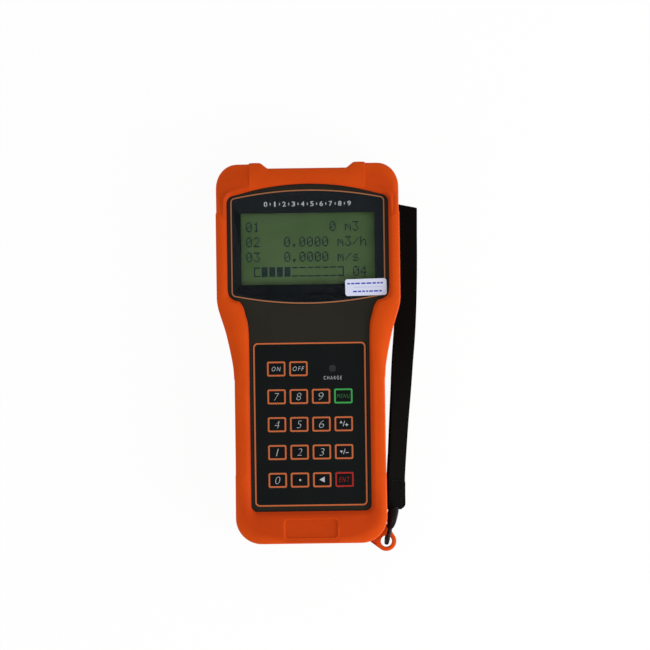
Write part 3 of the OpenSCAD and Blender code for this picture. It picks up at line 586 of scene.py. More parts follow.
class Bench:
    """The modelling steps that every sub-assembly uses, each of them a chain of operators."""

    @staticmethod
    def clear() -> None:
        """Leaves edit mode and deselects everything."""
        if bpy.context.object and bpy.context.object.mode != "OBJECT":
            bpy.ops.object.mode_set(mode="OBJECT")
        bpy.ops.object.select_all(action="DESELECT")

    @staticmethod
    def pick(piece: bpy.types.Object) -> None:
        """Makes one piece the only one selected and active."""
        Bench.clear()
        piece.select_set(True)
        bpy.context.view_layer.objects.active = piece

    @staticmethod
    def swept(name: str, rows: Sequence[Sequence[Point]], closed: bool = False) -> bpy.types.Object:
        """Draws a ring out through row after row of points.

        A circle is added with as many corners as a row has, and its edges are extruded once for each
        row. A closed sweep ends on its first row and is merged there; an open one gets two end faces.

        Args:
            name: The piece's name.
            rows: Rings of points in millimetres, each with the same count.
            closed: Whether the last row joins the first.

        Returns:
            The piece, which carries each corner's place in its ring and in the rows.
        """
        Bench.clear()
        count = len(rows[0])
        bpy.ops.mesh.primitive_circle_add(vertices=count, radius=1.0, fill_type="NOTHING")
        piece = bpy.context.object
        piece.name = piece.data.name = name
        mesh = piece.data
        mesh.attributes.new("ring_place", "INT", "POINT").data.foreach_set("value", list(range(count)))
        mesh.attributes.new("row_place", "INT", "POINT").data.foreach_set("value", [0] * count)
        mesh.vertices.foreach_set("co", [c * MM for p in rows[0] for c in p])
        Bench.mode("EDIT")
        bpy.ops.mesh.select_all(action="SELECT")
        path = list(rows[1:]) + ([rows[0]] if closed else [])
        for index, row in enumerate(path, 1):
            Bench.mode("EDIT")
            bpy.ops.mesh.extrude_edges_indiv()
            Bench.mode("OBJECT")
            total = len(mesh.vertices)
            places = Bench.numbers(mesh, "ring_place")
            levels = Bench.numbers(mesh, "row_place")
            spots = [0.0] * (3 * total)
            mesh.vertices.foreach_get("co", spots)
            for vertex in range(total - count, total):
                x, y, z = row[places[vertex]]
                spots[3 * vertex:3 * vertex + 3] = (x * MM, y * MM, z * MM)
                levels[vertex] = index
            mesh.vertices.foreach_set("co", spots)
            mesh.attributes["row_place"].data.foreach_set("value", levels)
            mesh.update()
        Bench.mode("EDIT")
        bpy.ops.mesh.select_all(action="SELECT")
        if closed:
            bpy.ops.mesh.remove_doubles(threshold=MERGE)
        else:
            bpy.ops.mesh.fill_holes(sides=0)
        bpy.ops.mesh.select_all(action="SELECT")
        bpy.ops.mesh.normals_make_consistent(inside=False)
        Bench.mode("OBJECT")
        return piece

    @staticmethod
    def mode(name: str) -> None:
        """Goes to edit or object mode."""
        bpy.ops.object.mode_set(mode=name)

    @staticmethod
    def numbers(mesh: bpy.types.Mesh, name: str) -> list[int]:
        """The whole numbers that the mesh's corners carry under a name."""
        found = [0] * len(mesh.vertices)
        mesh.attributes[name].data.foreach_get("value", found)
        return found

    @staticmethod
    def ring_values(piece: bpy.types.Object, name: str, rule: Callable[[int, int], float]) -> None:
        """Gives each corner a number that its finish reads.

        Args:
            piece: A swept piece.
            name: The number's name.
            rule: From the corner's row and its place in the ring to its number.
        """
        mesh = piece.data
        rows, places = Bench.numbers(mesh, "row_place"), Bench.numbers(mesh, "ring_place")
        made = mesh.attributes.new(name, "FLOAT", "POINT")
        made.data.foreach_set("value", [rule(r, p) for r, p in zip(rows, places)])

    @staticmethod
    def smooth(piece: bpy.types.Object, degrees: float = 30) -> None:
        """Shades the piece smooth except over sharper edges, and drops the sweep's own numbers."""
        Bench.pick(piece)
        bpy.ops.object.shade_smooth_by_angle(angle=math.radians(degrees))
        for name in ("ring_place", "row_place"):
            found = piece.data.attributes.get(name)
            if found:
                piece.data.attributes.remove(found)

    @staticmethod
    def carve(piece: bpy.types.Object, tool: bpy.types.Object, operation: str = "DIFFERENCE") -> None:
        """Cuts the tool out of the piece or joins it on, and removes the tool."""
        Bench.pick(piece)
        modifier = piece.modifiers.new("carve", "BOOLEAN")
        modifier.operation = operation
        modifier.object = tool
        modifier.solver = "EXACT"
        bpy.ops.object.modifier_apply(modifier="carve")
        bpy.data.objects.remove(tool)

    @staticmethod
    def band(
        name: str, outer: list[Flat], inner: list[Flat], low: float, high: float
    ) -> bpy.types.Object:
        """A printed line between two loops."""
        rows = [raised(outer, low), raised(outer, high), raised(inner, high), raised(inner, low)]
        piece = Bench.swept(name, rows, closed=True)
        Bench.smooth(piece)
        return piece

    @staticmethod
    def plate(name: str, loop: list[Flat], low: float, high: float) -> bpy.types.Object:
        """A flat piece with the outline of a loop."""
        piece = Bench.swept(name, [raised(loop, low), raised(loop, high)])
        Bench.smooth(piece)
        return piece

    @staticmethod
    def joined(name: str, pieces: list[bpy.types.Object]) -> bpy.types.Object:
        """Makes one piece of several."""
        Bench.clear()
        for piece in pieces:
            piece.select_set(True)
        bpy.context.view_layer.objects.active = pieces[0]
        bpy.ops.object.join()
        pieces[0].name = pieces[0].data.name = name
        return pieces[0]

    @staticmethod
    def scattered(name: str, first: bpy.types.Object, frames: Sequence[Matrix]) -> bpy.types.Object:
        """Copies one small piece to many places and makes one piece of the copies.

        Args:
            name: The finished piece's name.
            first: The piece to copy, which is removed.
            frames: Where each copy goes, in metres.

        Returns:
            The piece.
        """
        copies = []
        for place in frames:
            copy = first.copy()
            copy.data = first.data.copy()
            bpy.context.collection.objects.link(copy)
            copy.matrix_world = place
            copies.append(copy)
        bpy.data.objects.remove(first)
        piece = Bench.joined(name, copies)
        Bench.pick(piece)
        bpy.ops.object.transform_apply(location=True, rotation=True, scale=True)
        return piece

    @staticmethod
    def letters(
        name: str, text: str, size: Flat, at: Flat, low: float, high: float,
        slant: float = 0.0, weight: float = 0.0, spacing: float = 1.0,
    ) -> bpy.types.Object:
        """Sets a word or number as a thin raised print.

        Args:
            name: The piece's name.
            text: What it says.
            size: Its width and height.
            at: The middle of the word.
            low: Height of its underside.
            high: Height of its face.
            slant: How far it leans.
            weight: How much its strokes are fattened.
            spacing: How far apart its letters stand.

        Returns:
            The piece.
        """
        Bench.clear()
        bpy.ops.object.text_add()
        piece = bpy.context.object
        data = piece.data
        data.body = text
        data.shear = slant
        data.offset = weight
        data.space_character = spacing
        data.extrude = 0.05
        data.resolution_u = 5
        bpy.ops.object.convert(target="MESH")
        piece = bpy.context.object
        piece.name = piece.data.name = name
        mesh = piece.data
        spots = [tuple(v.co) for v in mesh.vertices]
        xs, ys, zs = zip(*spots)
        wide, tall = size[0] / (max(xs) - min(xs)), size[1] / (max(ys) - min(ys))
        cx, cy = (max(xs) + min(xs)) / 2, (max(ys) + min(ys)) / 2
        flat: list[float] = []
        for x, y, z in spots:
            share = (z - min(zs)) / (max(zs) - min(zs))
            flat += [
                (at[0] + (x - cx) * wide) * MM,
                (at[1] + (y - cy) * tall) * MM,
                (low + (high - low) * share) * MM,
            ]
        mesh.vertices.foreach_set("co", flat)
        Bench.mode("EDIT")
        bpy.ops.mesh.select_all(action="SELECT")
        bpy.ops.mesh.remove_doubles(threshold=MERGE)
        bpy.ops.mesh.normals_make_consistent(inside=False)
        Bench.mode("OBJECT")
        return piece


# Protective boot


@dataclass(frozen=True)
class LipFace:
    """The upper face of the boot's lip at one station, as heights by the distance from the rim."""

    width: float
    high: float
    low: float
    edge: float
    crest: float
    slope: float
    drop: float
    outward: float
    inward: float
    foot: float
    rim_x: float
    across: float
    lean: float
    lean_from: float

    WINDOW_EDGE = 0.45
    WINDOW_DROP = 0.9
    STEP = (2.2, 0.4)
    FALL_POWER = (2.2, 0.4)

    def level(self, d: float) -> float:
        """Height of the face: cambered, falling to the window, and leaning down in a set-back corner."""
        tilt = self.lean * max(abs(self.rim_x + self.across * d) - self.lean_from, 0.0)
        if d < self.crest:
            return self.low - self.outward / (2 * (self.crest - self.edge)) * (self.crest - d) ** 2 - tilt
        slope_at = self.width - self.slope
        start = max(self.crest, slope_at - self.STEP[0])
        rise = eased((d - start) / (slope_at + self.STEP[1] - start))
        share = max((d - slope_at) / (self.slope - self.WINDOW_EDGE), 0.0)
        fall = self.inward / (2 * (self.width - self.crest)) * (d - self.crest) ** 2
        fall += self.drop * share ** (self.FALL_POWER[0] - self.FALL_POWER[1] * self.foot)
        return self.low + (self.high - self.low + tilt) * rise - fall - tilt


@dataclass
class ProtectiveBoot:
    """The orange rubber sleeve, as one closed sweep of a changing section round the window.

    A name that ends in "up" is a distance above the boot's bottom edge.
    """

    length: float = 210
    head_w: float = 103
    grip_w: float = 84.6
    height: float = 39.5
    wall: float = 5
    foot_r: float = 14.6
    foot_flare: float = 0.15
    foot_low: float = 0.3
    crown_r: float = 12.2
    bump_rise: float = 3.4
    bump_side: float = 0.92
    head_len: float = 72.2
    shoulder_len: float = 47
    lip_foot: float = 17.9
    lip_top: float = 8.6
    lip_grip: float = 8.6
    lip_head: float = 6.2
    window_arch: float = 6.2
    window_foot_r: float = 3.5
    window_top_r: float = 4.5
    window_shoulder_over: float = 5.2
    foot_y: float = -103.95
    case_z0: float = 4.05
    case_gap: float = 0.05
    lip_z0: float = 36.10
    back_rim: float = 12
    back_round: Flat = (8, 12)
    front_round: Flat = (1.1, 3.0)
    corner_step: float = 0.5
    corner_from: float = 32.4
    corner_up: float = 185.5
    corner_sink: float = 0.8
    corner_lean: float = 0.08
    corner_fade: float = 12
    crown_up: float = 190
    crown_side_up: float = 199
    crown_soil_up: float = 195
    grip_step: float = 0.16
    grip_top_up: float = 92
    foot_step_up: float = 38.8
    foot_face_up: float = 40
    foot_soil_up: float = 34
    inner_drop: float = 0.75
    inner_wide: float = 2.9
    foot_drop: float = 0.9
    foot_wide: float = 1.1
    round_steps: int = 10
    window_steps: int = 4
    window_soil: Flat = (0.35, 0.15)
    eyelet_hole_r: float = 3.15
    eyelet_ring_r: float = 5.6
    eyelet_root_r: float = 2.5
    eyelet_inset: float = 0.5
    eyelet_lift: float = 0.1
    eyelet_low: float = 10.0
    eyelet_high: float = 14.0
    port_z: float = 15.05
    recess_size: Flat = (29.8, 10.7)
    recess_at: Flat = (-0.3, 8.1)
    recess_r: float = 1.9
    recess_reach: Flat = (16, 14)
    recess_below: Flat = (0.8, 0.3)
    recess_soil: float = 0.66
    tab_reach: Flat = (0.2, 16)
    tab_over: float = 0.1
    # Painted shade on the foot and at the top end; the set-back corners are painted darker.
    foot_soil: float = 0.8
    foot_soil_fade: float = 16
    soil_side_from: float = 22
    soil_side_fade: float = 18
    soil_side_less: float = 0.15
    corner_soil: float = 0.48
    crown_soil: float = 0.12
    side_from: float = 20
    side_fade: float = 16
    slope_share: float = 0.42
    slope_full: float = 2.8
    crest_in: float = 4.6
    crest_gap: float = 0.2
    camber_side: float = 0.36
    camber_end: float = 0.32
    camber_in: float = 0.3

    OUTER = (
        (0, 0), (0.08, 0.02), (0.18, 0.06), (0.32, 0.18), (0.47, 0.335), (0.60, 0.49), (0.70, 0.645),
        (0.79, 0.79), (0.86, 0.895), (0.915, 0.955), (0.957, 0.985), (1, 1),
    )
    INNER = (
        (0, 0), (0.25, 0), (0.48, 0.005), (0.63, 0.05), (0.715, 0.15), (0.788, 0.23), (0.828, 0.32),
        (0.862, 0.44), (0.872, 0.60), (0.893, 0.80), (0.93, 0.945), (1, 1),
    )
    CROWN = (0.96, 0.885, 0.838, 0.809, 0.765, 0.715, 0.662, 0.612, 0.565, 0.52, 0.3, 0)
    BUMP = (0.93, 0.93, 0.94, 0.97, 1, 1, 0.93, 0.5, 0.1, 0.06, 0.06, 0.06)
    LEAN = (1, 0.3, 0, 0, 0, 0, 0, 0, 0, 0, 0, 0)
    FOOT = (0, 0.34, 0.67, 1)
    GRIP = (0.05, 0.15, 0.32, 0.5, 0.68, 0.85, 0.95)
    HEAD = (0.03, 0.1, 0.25, 0.45, 0.65, 0.82, 0.94, 1)
    BACK_EDGE = ((0, 0.7), (0.2, 0.2), (0.7, 0))
    HOLE_EDGE = ((0.7, 0.0), (0.2, 0.2), (0.0, 0.8))
    TAB_EDGE = ((1.2, 0.0), (0.35, 0.3), (0.0, 1.1))
    TAB_ROOTS = ((8.75, 2.5), (2.5, 8.75))
    RECESS_EDGE = ((0.0, 1), (0.0, -0.06), (0.22, -0.40), (0.55, -0.68), (1.3, -0.76))
    BAYS = (("bay_tool", 42, 16, 3, 203.85, 216), ("port_tool", 32.8, 14.5, 2, -1, 6))

    def up(self, distance: float) -> float:
        """The place that far above the boot's bottom edge."""
        return self.foot_y + distance

    def outline(self) -> tuple[list[Flat], list[float]]:
        """The right half of the outline from bottom to top, and how far the bumpers lift each point."""
        g, h = self.grip_w / 2, self.head_w / 2
        shoulder_to = self.length - self.head_len
        start = shoulder_to - self.shoulder_len
        wide = g + self.foot_flare
        half = [((wide - self.foot_r) * s, self.up(-self.foot_low)) for s in self.FOOT]
        half += arc(wide - self.foot_r, self.up(self.foot_r - self.foot_low), self.foot_r, -90, 0)
        half += [
            (g + self.foot_flare * max(1 - 2 * s, 0), self.up(self.foot_r + (start - self.foot_r) * s))
            for s in self.GRIP
        ]
        half += [(g + (h - g) * b, self.up(start + self.shoulder_len * a)) for a, b in self.OUTER]
        top = self.length - self.crown_r - shoulder_to
        half += [(h, self.up(shoulder_to + top * s)) for s in self.HEAD]
        lift = [0.0] * len(half)
        half += arc(h - self.crown_r, self.up(self.length - self.crown_r), self.crown_r, 0, 90)
        turns = [math.radians(90 * i / ARC_STEPS) for i in range(1, ARC_STEPS + 1)]
        lift += [self.bump_rise * self.bump_side * math.sqrt(math.sin(a)) for a in turns]
        half += [((h - self.crown_r) * s, self.up(self.length)) for s in self.CROWN]
        lift += [self.bump_rise * s for s in self.BUMP]
        return half, lift

    def window(self) -> list[Flat]:
        """The right half of the window, with a point for each one of the outline."""
        g, h = self.grip_w / 2 - self.lip_grip, self.head_w / 2 - self.lip_head
        start = self.length - self.head_len - self.shoulder_len
        rise, top = self.shoulder_len + self.window_shoulder_over, self.length - self.lip_top
        side_top = top - self.window_arch - self.window_top_r
        foot_r, foot_in = self.window_foot_r, g - self.window_foot_r
        half = [(foot_in * s, self.up(self.lip_foot)) for s in self.FOOT]
        half += arc(foot_in, self.up(self.lip_foot + foot_r), foot_r, -90, 0)
        half += [(g, self.up(self.foot_r + (start - self.foot_r) * s)) for s in self.GRIP]
        half += [(g + (h - g) * b, self.up(start + rise * a)) for a, b in self.INNER]
        half += [(h, self.up(start + rise + (side_top - start - rise) * s)) for s in self.HEAD]
        half += arc(h - self.window_top_r, self.up(side_top), self.window_top_r, 0, 75)
        rim, run = self.head_w / 2 - self.crown_r, h - self.window_top_r
        for s, lean in zip(self.CROWN, self.LEAN):
            x = (rim + (run - rim) * lean) * s
            half.append((x, self.up(top - self.window_arch * (x / run) ** 2)))
        return half

    def stations(self) -> list[tuple[float, ...]]:
        """Rim, window, back opening and cavity at each station, finer than in the solid.

        Returns:
            Rows of x and y for each of the four, with a pair of stations at each moulded step.
        """
        half, lift = self.outline()
        inner = self.window()
        rows = [(x, y, rise, *w) for (x, y), rise, w in zip(half, lift, inner)]
        rows += [(-x, y, rise, -wx, wy) for x, y, rise, wx, wy in rows[-2:0:-1]]
        rows = rounder(rounder(rows, True), True)
        half_w, far = self.head_w / 2, self.up(self.length + self.bump_rise)
        count = len(rows)
        made = []
        for i, (x, y, rise, wx, wy) in enumerate(rows):
            before, after = rows[i - 1], rows[(i + 1) % count]
            tx, ty = after[0] - before[0], after[1] - before[1]
            size = math.hypot(tx, ty)
            nx, ny = ty / size, -tx / size
            made.append((
                max(min(x, half_w), -half_w), min(y + max(rise, 0), far), wx, wy,
                x - nx * self.back_rim, y - ny * self.back_rim, x - nx * self.wall, y - ny * self.wall,
            ))
        return self.stepped(made)

    def stepped(self, rows: list[tuple[float, ...]]) -> list[tuple[float, ...]]:
        """Puts two close stations where the corners and the foot step in, by their place on the rim."""
        along, across, crown = 1, 0, self.up(self.crown_up)
        marks = [
            (along, self.up(self.corner_up), 1.0, -math.inf),
            (along, self.up(self.foot_step_up), 0.35, -math.inf),
            (across, self.corner_from, 0.7, crown),
            (across, -self.corner_from, 0.7, crown),
        ]
        made: list[tuple[float, ...]] = []
        for i, here in enumerate(rows):
            after = rows[(i + 1) % len(rows)]
            made.append(here)
            cuts = []
            for axis, value, close, above in marks:
                for place in (value - close, value + close):
                    gap = after[axis] - here[axis]
                    if here[along] > above and gap and 0 < (place - here[axis]) / gap < 1:
                        cuts.append((place - here[axis]) / gap)
            for share in sorted(cuts):
                made.append(tuple(a + (b - a) * share for a, b in zip(here, after)))
        return made

    def depth(self, x: float, y: float) -> float:
        """How far the skin lies in at a station: the corners of the head most, the lower grip a little."""
        if y > self.up(self.corner_up):
            set_back = abs(x) > self.corner_from or y < self.up(self.crown_side_up)
            return self.corner_step if set_back else 0.0
        return self.grip_step if self.up(self.foot_step_up) < y < self.up(self.grip_top_up) else 0.0

    def wear(self, x: float, y: float) -> float:
        """How dark the face is painted at a station: painted shade on the foot and at the top end, and
        darker in the set-back corners.
        """
        side = held((abs(x) - self.soil_side_from) / self.soil_side_fade)
        foot = held((self.up(self.foot_soil_up) - y) / self.foot_soil_fade)
        corner = self.depth(x, y) / self.corner_step if y > self.up(self.corner_up) else 0.0
        crown = self.crown_soil if y > self.up(self.crown_soil_up) else 0.0
        foot_soil = self.foot_soil * foot * (1 - self.soil_side_less * side)
        return max(foot_soil, self.corner_soil * corner, crown)

    def face(self, x: float, y: float, across: float, width: float, sunk: float) -> LipFace:
        """The lip's upper face at one station.

        Args:
            x: The skin's place across the boot.
            y: The skin's place along the boot.
            across: How far a step towards the window goes across the boot.
            width: Distance from the skin to the window.
            sunk: How far the skin is set back.

        Returns:
            The face, flat on top at the foot and cambered along the sides.
        """
        side = held((abs(x) - self.side_from) / self.side_fade)
        foot = 1 - side if y < self.up(self.foot_face_up) else 0.0
        slope = min(self.inner_wide + self.foot_wide * foot, width * self.slope_share)
        crest = side * 0.5 * width + (1 - side) * min(self.crest_in, 0.5 * width)
        fade = held((y - self.up(self.corner_up)) / self.corner_fade)
        kept = fade if y > self.up(self.corner_up) else 1.0
        return LipFace(
            width=width, high=self.height, low=self.height - sunk * self.corner_sink * kept,
            edge=self.front_round[0], crest=min(crest, width - slope - self.crest_gap), slope=slope,
            drop=(self.inner_drop + self.foot_drop * foot) * min(1.0, slope / self.slope_full),
            outward=self.camber_side * side + self.camber_end * (1 - side), inward=self.camber_in * side,
            foot=foot, rim_x=x, across=across,
            lean=self.corner_lean * fade * sunk / self.corner_step, lean_from=self.corner_from,
        )

    def section(self, row: tuple[float, ...]) -> tuple[list[Point], list[float]]:
        """One station's section, from the back opening round the outside to the window and the cavity.

        Args:
            row: Rim, window, back opening and cavity.

        Returns:
            The section's points, and how much shade is painted on each one.
        """
        ox, oy, wx, wy, kx, ky, cx, cy = row
        sunk, wear = self.depth(ox, oy), self.wear(ox, oy)
        f, b = math.hypot(wx - ox, wy - oy), math.hypot(kx - ox, ky - oy)
        fx, fy, bx, by = (wx - ox) / f, (wy - oy) / f, (kx - ox) / b, (ky - oy) / b
        ox, oy, f = ox + fx * sunk, oy + fy * sunk, f - sunk
        face = self.face(ox, oy, fx, f, sunk)
        points = [(kx - bx * inset, ky - by * inset, z) for inset, z in self.BACK_EDGE]
        turns = [math.radians(90 * i / self.round_steps) for i in range(self.round_steps + 1)]
        shares = [(1 - math.cos(a), math.sin(a)) for a in turns]
        for s, t in reversed(shares):
            reach = self.back_round[0] * s
            points.append((ox + bx * reach, oy + by * reach, self.back_round[1] * (1 - t)))
        edge, round_h = self.front_round
        rim = face.level(edge)
        points.append((ox, oy, (self.back_round[1] + rim - round_h) / 2))
        points += [(ox + fx * edge * s, oy + fy * edge * s, rim - round_h * (1 - t)) for s, t in shares]
        soil = [0.0] * len(points)
        for d, shade_amount in self.face_marks(face, wear):
            points.append((ox + fx * d, oy + fy * d, face.level(d)))
            soil.append(shade_amount)
        last = face.level(f - face.WINDOW_EDGE)
        for i in range(1, self.window_steps + 1):
            a = math.radians(90 * i / self.window_steps)
            inset, drop = face.WINDOW_EDGE * (1 - math.sin(a)), face.WINDOW_DROP * (1 - math.cos(a))
            points.append((wx - fx * inset, wy - fy * inset, last - drop))
            # Painted shade deepens down the window's edge.
            soil.append(self.window_soil[0] + self.window_soil[1] * i)
        case = self.case_z0 - self.case_gap
        points += [(wx, wy, self.lip_z0), (cx, cy, self.lip_z0), (cx, cy, case), (kx, ky, case)]
        # The lip's inner wall and the cavity get full painted shade, the back half as much.
        return points, soil + [1.0, 1.0, 0.5, 0.5]

    @staticmethod
    def face_marks(face: LipFace, wear: float) -> list[Flat]:
        """Distances from the rim at which the face gets a point, each with how much shade is painted
        there.
        """
        flat, slope_at = 4, face.width - face.slope
        marks = [
            (face.edge + (face.crest - face.edge) * i / flat, wear * i / flat) for i in range(1, flat + 1)
        ]
        marks += [(face.crest + (slope_at - face.crest) * i / flat, wear) for i in range(1, flat + 1)]
        steep, reach = 7, face.slope - face.WINDOW_EDGE
        # Painted shade grows down the inner slope towards the window.
        marks += [
            (slope_at + reach * i / steep, wear + (0.4 - 0.4 * wear) * i / steep)
            for i in range(1, steep + 1)
        ]
        return marks

    def eyelet_at(self) -> Flat:
        """The middle of the eyelet's hole."""
        return (self.grip_w / 2 - self.eyelet_inset, self.up(self.eyelet_lift))

    def eyelet(self) -> bpy.types.Object:
        """The lanyard tab under the lower right corner, with its edges rounded over."""
        x, y = self.eyelet_at()
        circles = [(x, y, self.eyelet_ring_r)]
        circles += [(self.grip_w / 2 - a, self.up(b), self.eyelet_root_r) for a, b in self.TAB_ROOTS]
        steps, fine = 96, 720
        angles = [2 * math.pi * i / steps for i in range(steps)]

        def reach(angle: float) -> float:
            """Distance from the hole's middle to the hull of the three circles."""
            best = math.inf
            for i in range(fine):
                a = 2 * math.pi * i / fine
                c, s = math.cos(a), math.sin(a)
                support = max((cx - x) * c + (cy - y) * s + r for cx, cy, r in circles)
                facing = math.cos(a - angle)
                if facing > 0.02:
                    best = min(best, support / facing)
            return best

        def both_edges(edge: Sequence[Flat]) -> list[Flat]:
            """The rounding at the tab's underside and the same at its upper side."""
            lower = [(inset, self.eyelet_low + rise) for inset, rise in edge]
            return lower + [(inset, self.eyelet_high - rise) for inset, rise in reversed(edge)]

        far = [reach(a) for a in angles]
        rings = [([self.eyelet_hole_r + e] * steps, z) for e, z in both_edges(self.HOLE_EDGE)]
        rings += [([d - e for d in far], z) for e, z in reversed(both_edges(self.TAB_EDGE))]
        rows = [
            [(x + r * math.cos(a), y + r * math.sin(a), z) for a, r in zip(angles, radii)]
            for radii, z in rings
        ]
        return Bench.swept("eyelet_tab", rows, closed=True)

    def bay(self, name: str, width: float, height: float, r: float, ends: Flat) -> bpy.types.Object:
        """A tool for a cut-out in an end wall, between two places along the boot."""
        loop = rounded(width, height, r)
        return Bench.swept(name, [[(x, y, z + self.port_z) for x, z in loop] for y in ends])

    def recess(self) -> bpy.types.Object:
        """A tool for the finger recess, with a sloping rim and a rounded floor edge."""
        wide, tall = self.recess_size
        at = (self.recess_at[0], self.up(self.recess_at[1]))
        rows = [
            raised(rounded(wide - 2 * e, tall - 2 * e, self.recess_r - e, ARC_STEPS, at), self.height + z)
            for e, z in self.RECESS_EDGE
        ]
        return Bench.swept("recess_tool", rows)

    def build(self) -> bpy.types.Object:
        """Makes the boot, cuts its bays and recess, joins its eyelet and dresses it."""
        sections = [self.section(row) for row in self.stations()]
        rows = [[points[k] for points, _ in sections] for k in range(len(sections[0][0]))]
        boot = Bench.swept("boot_sleeve", rows, closed=True)
        Bench.ring_values(boot, "soil", lambda row, place: sections[place][1][row % len(rows)])
        Bench.carve(boot, self.eyelet(), "UNION")
        for name, width, height, r, start, end in self.BAYS:
            Bench.carve(boot, self.bay(name, width, height, r, (self.up(start), self.up(end))))
        Bench.carve(boot, self.recess())
        self.shaded(boot)
        Bench.smooth(boot, 28)
        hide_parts("protective_boot")
        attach(boot, "meter")
        Palette.BOOT.coat(boot, "boot_rubber")
        return boot

    def shaded(self, boot: bpy.types.Object) -> None:
        """Paints shade on the recess floor, as on the foot round it, and full painted shadow on the tab
        where it runs in under the boot.
        """
        numbers = boot.data.attributes["soil"].data
        hole = self.eyelet_at()
        floor_low, floor_high = (self.height - below for below in self.recess_below)
        tab_low, tab_high = self.eyelet_low - self.tab_over, self.eyelet_high + self.tab_over
        side, end = self.recess_reach[0], self.up(self.recess_reach[1])
        near, far = self.eyelet_ring_r + self.tab_reach[0], self.tab_reach[1]
        for vertex, number in zip(boot.data.vertices, numbers):
            x, y, z = (c / MM for c in vertex.co)
            if floor_low < z < floor_high and y < end and abs(x) < side:
                number.value = self.recess_soil
            if tab_low < z < tab_high and near < math.dist((x, y), hole) < far:
                number.value = 1.0


# Wrist strap


@dataclass(frozen=True)
class Ply:
    """One place on the tape: its middle, its direction, across and normal, and which ply it is."""

    spot: Point
    t: Point
    w: Point
    n: Point
    upper: bool

    def point(self, u: float, v: float, along: float) -> Point:
        """A point that far across, out of and along the tape."""
        return tuple(
            self.spot[k] + self.w[k] * u + self.n[k] * v + self.t[k] * along for k in range(3)
        )

    def raised(self, height: float) -> "Ply":
        """The same place, that far out along its normal."""
        return Ply(self.point(0.0, height, 0.0), self.t, self.w, self.n, self.upper)


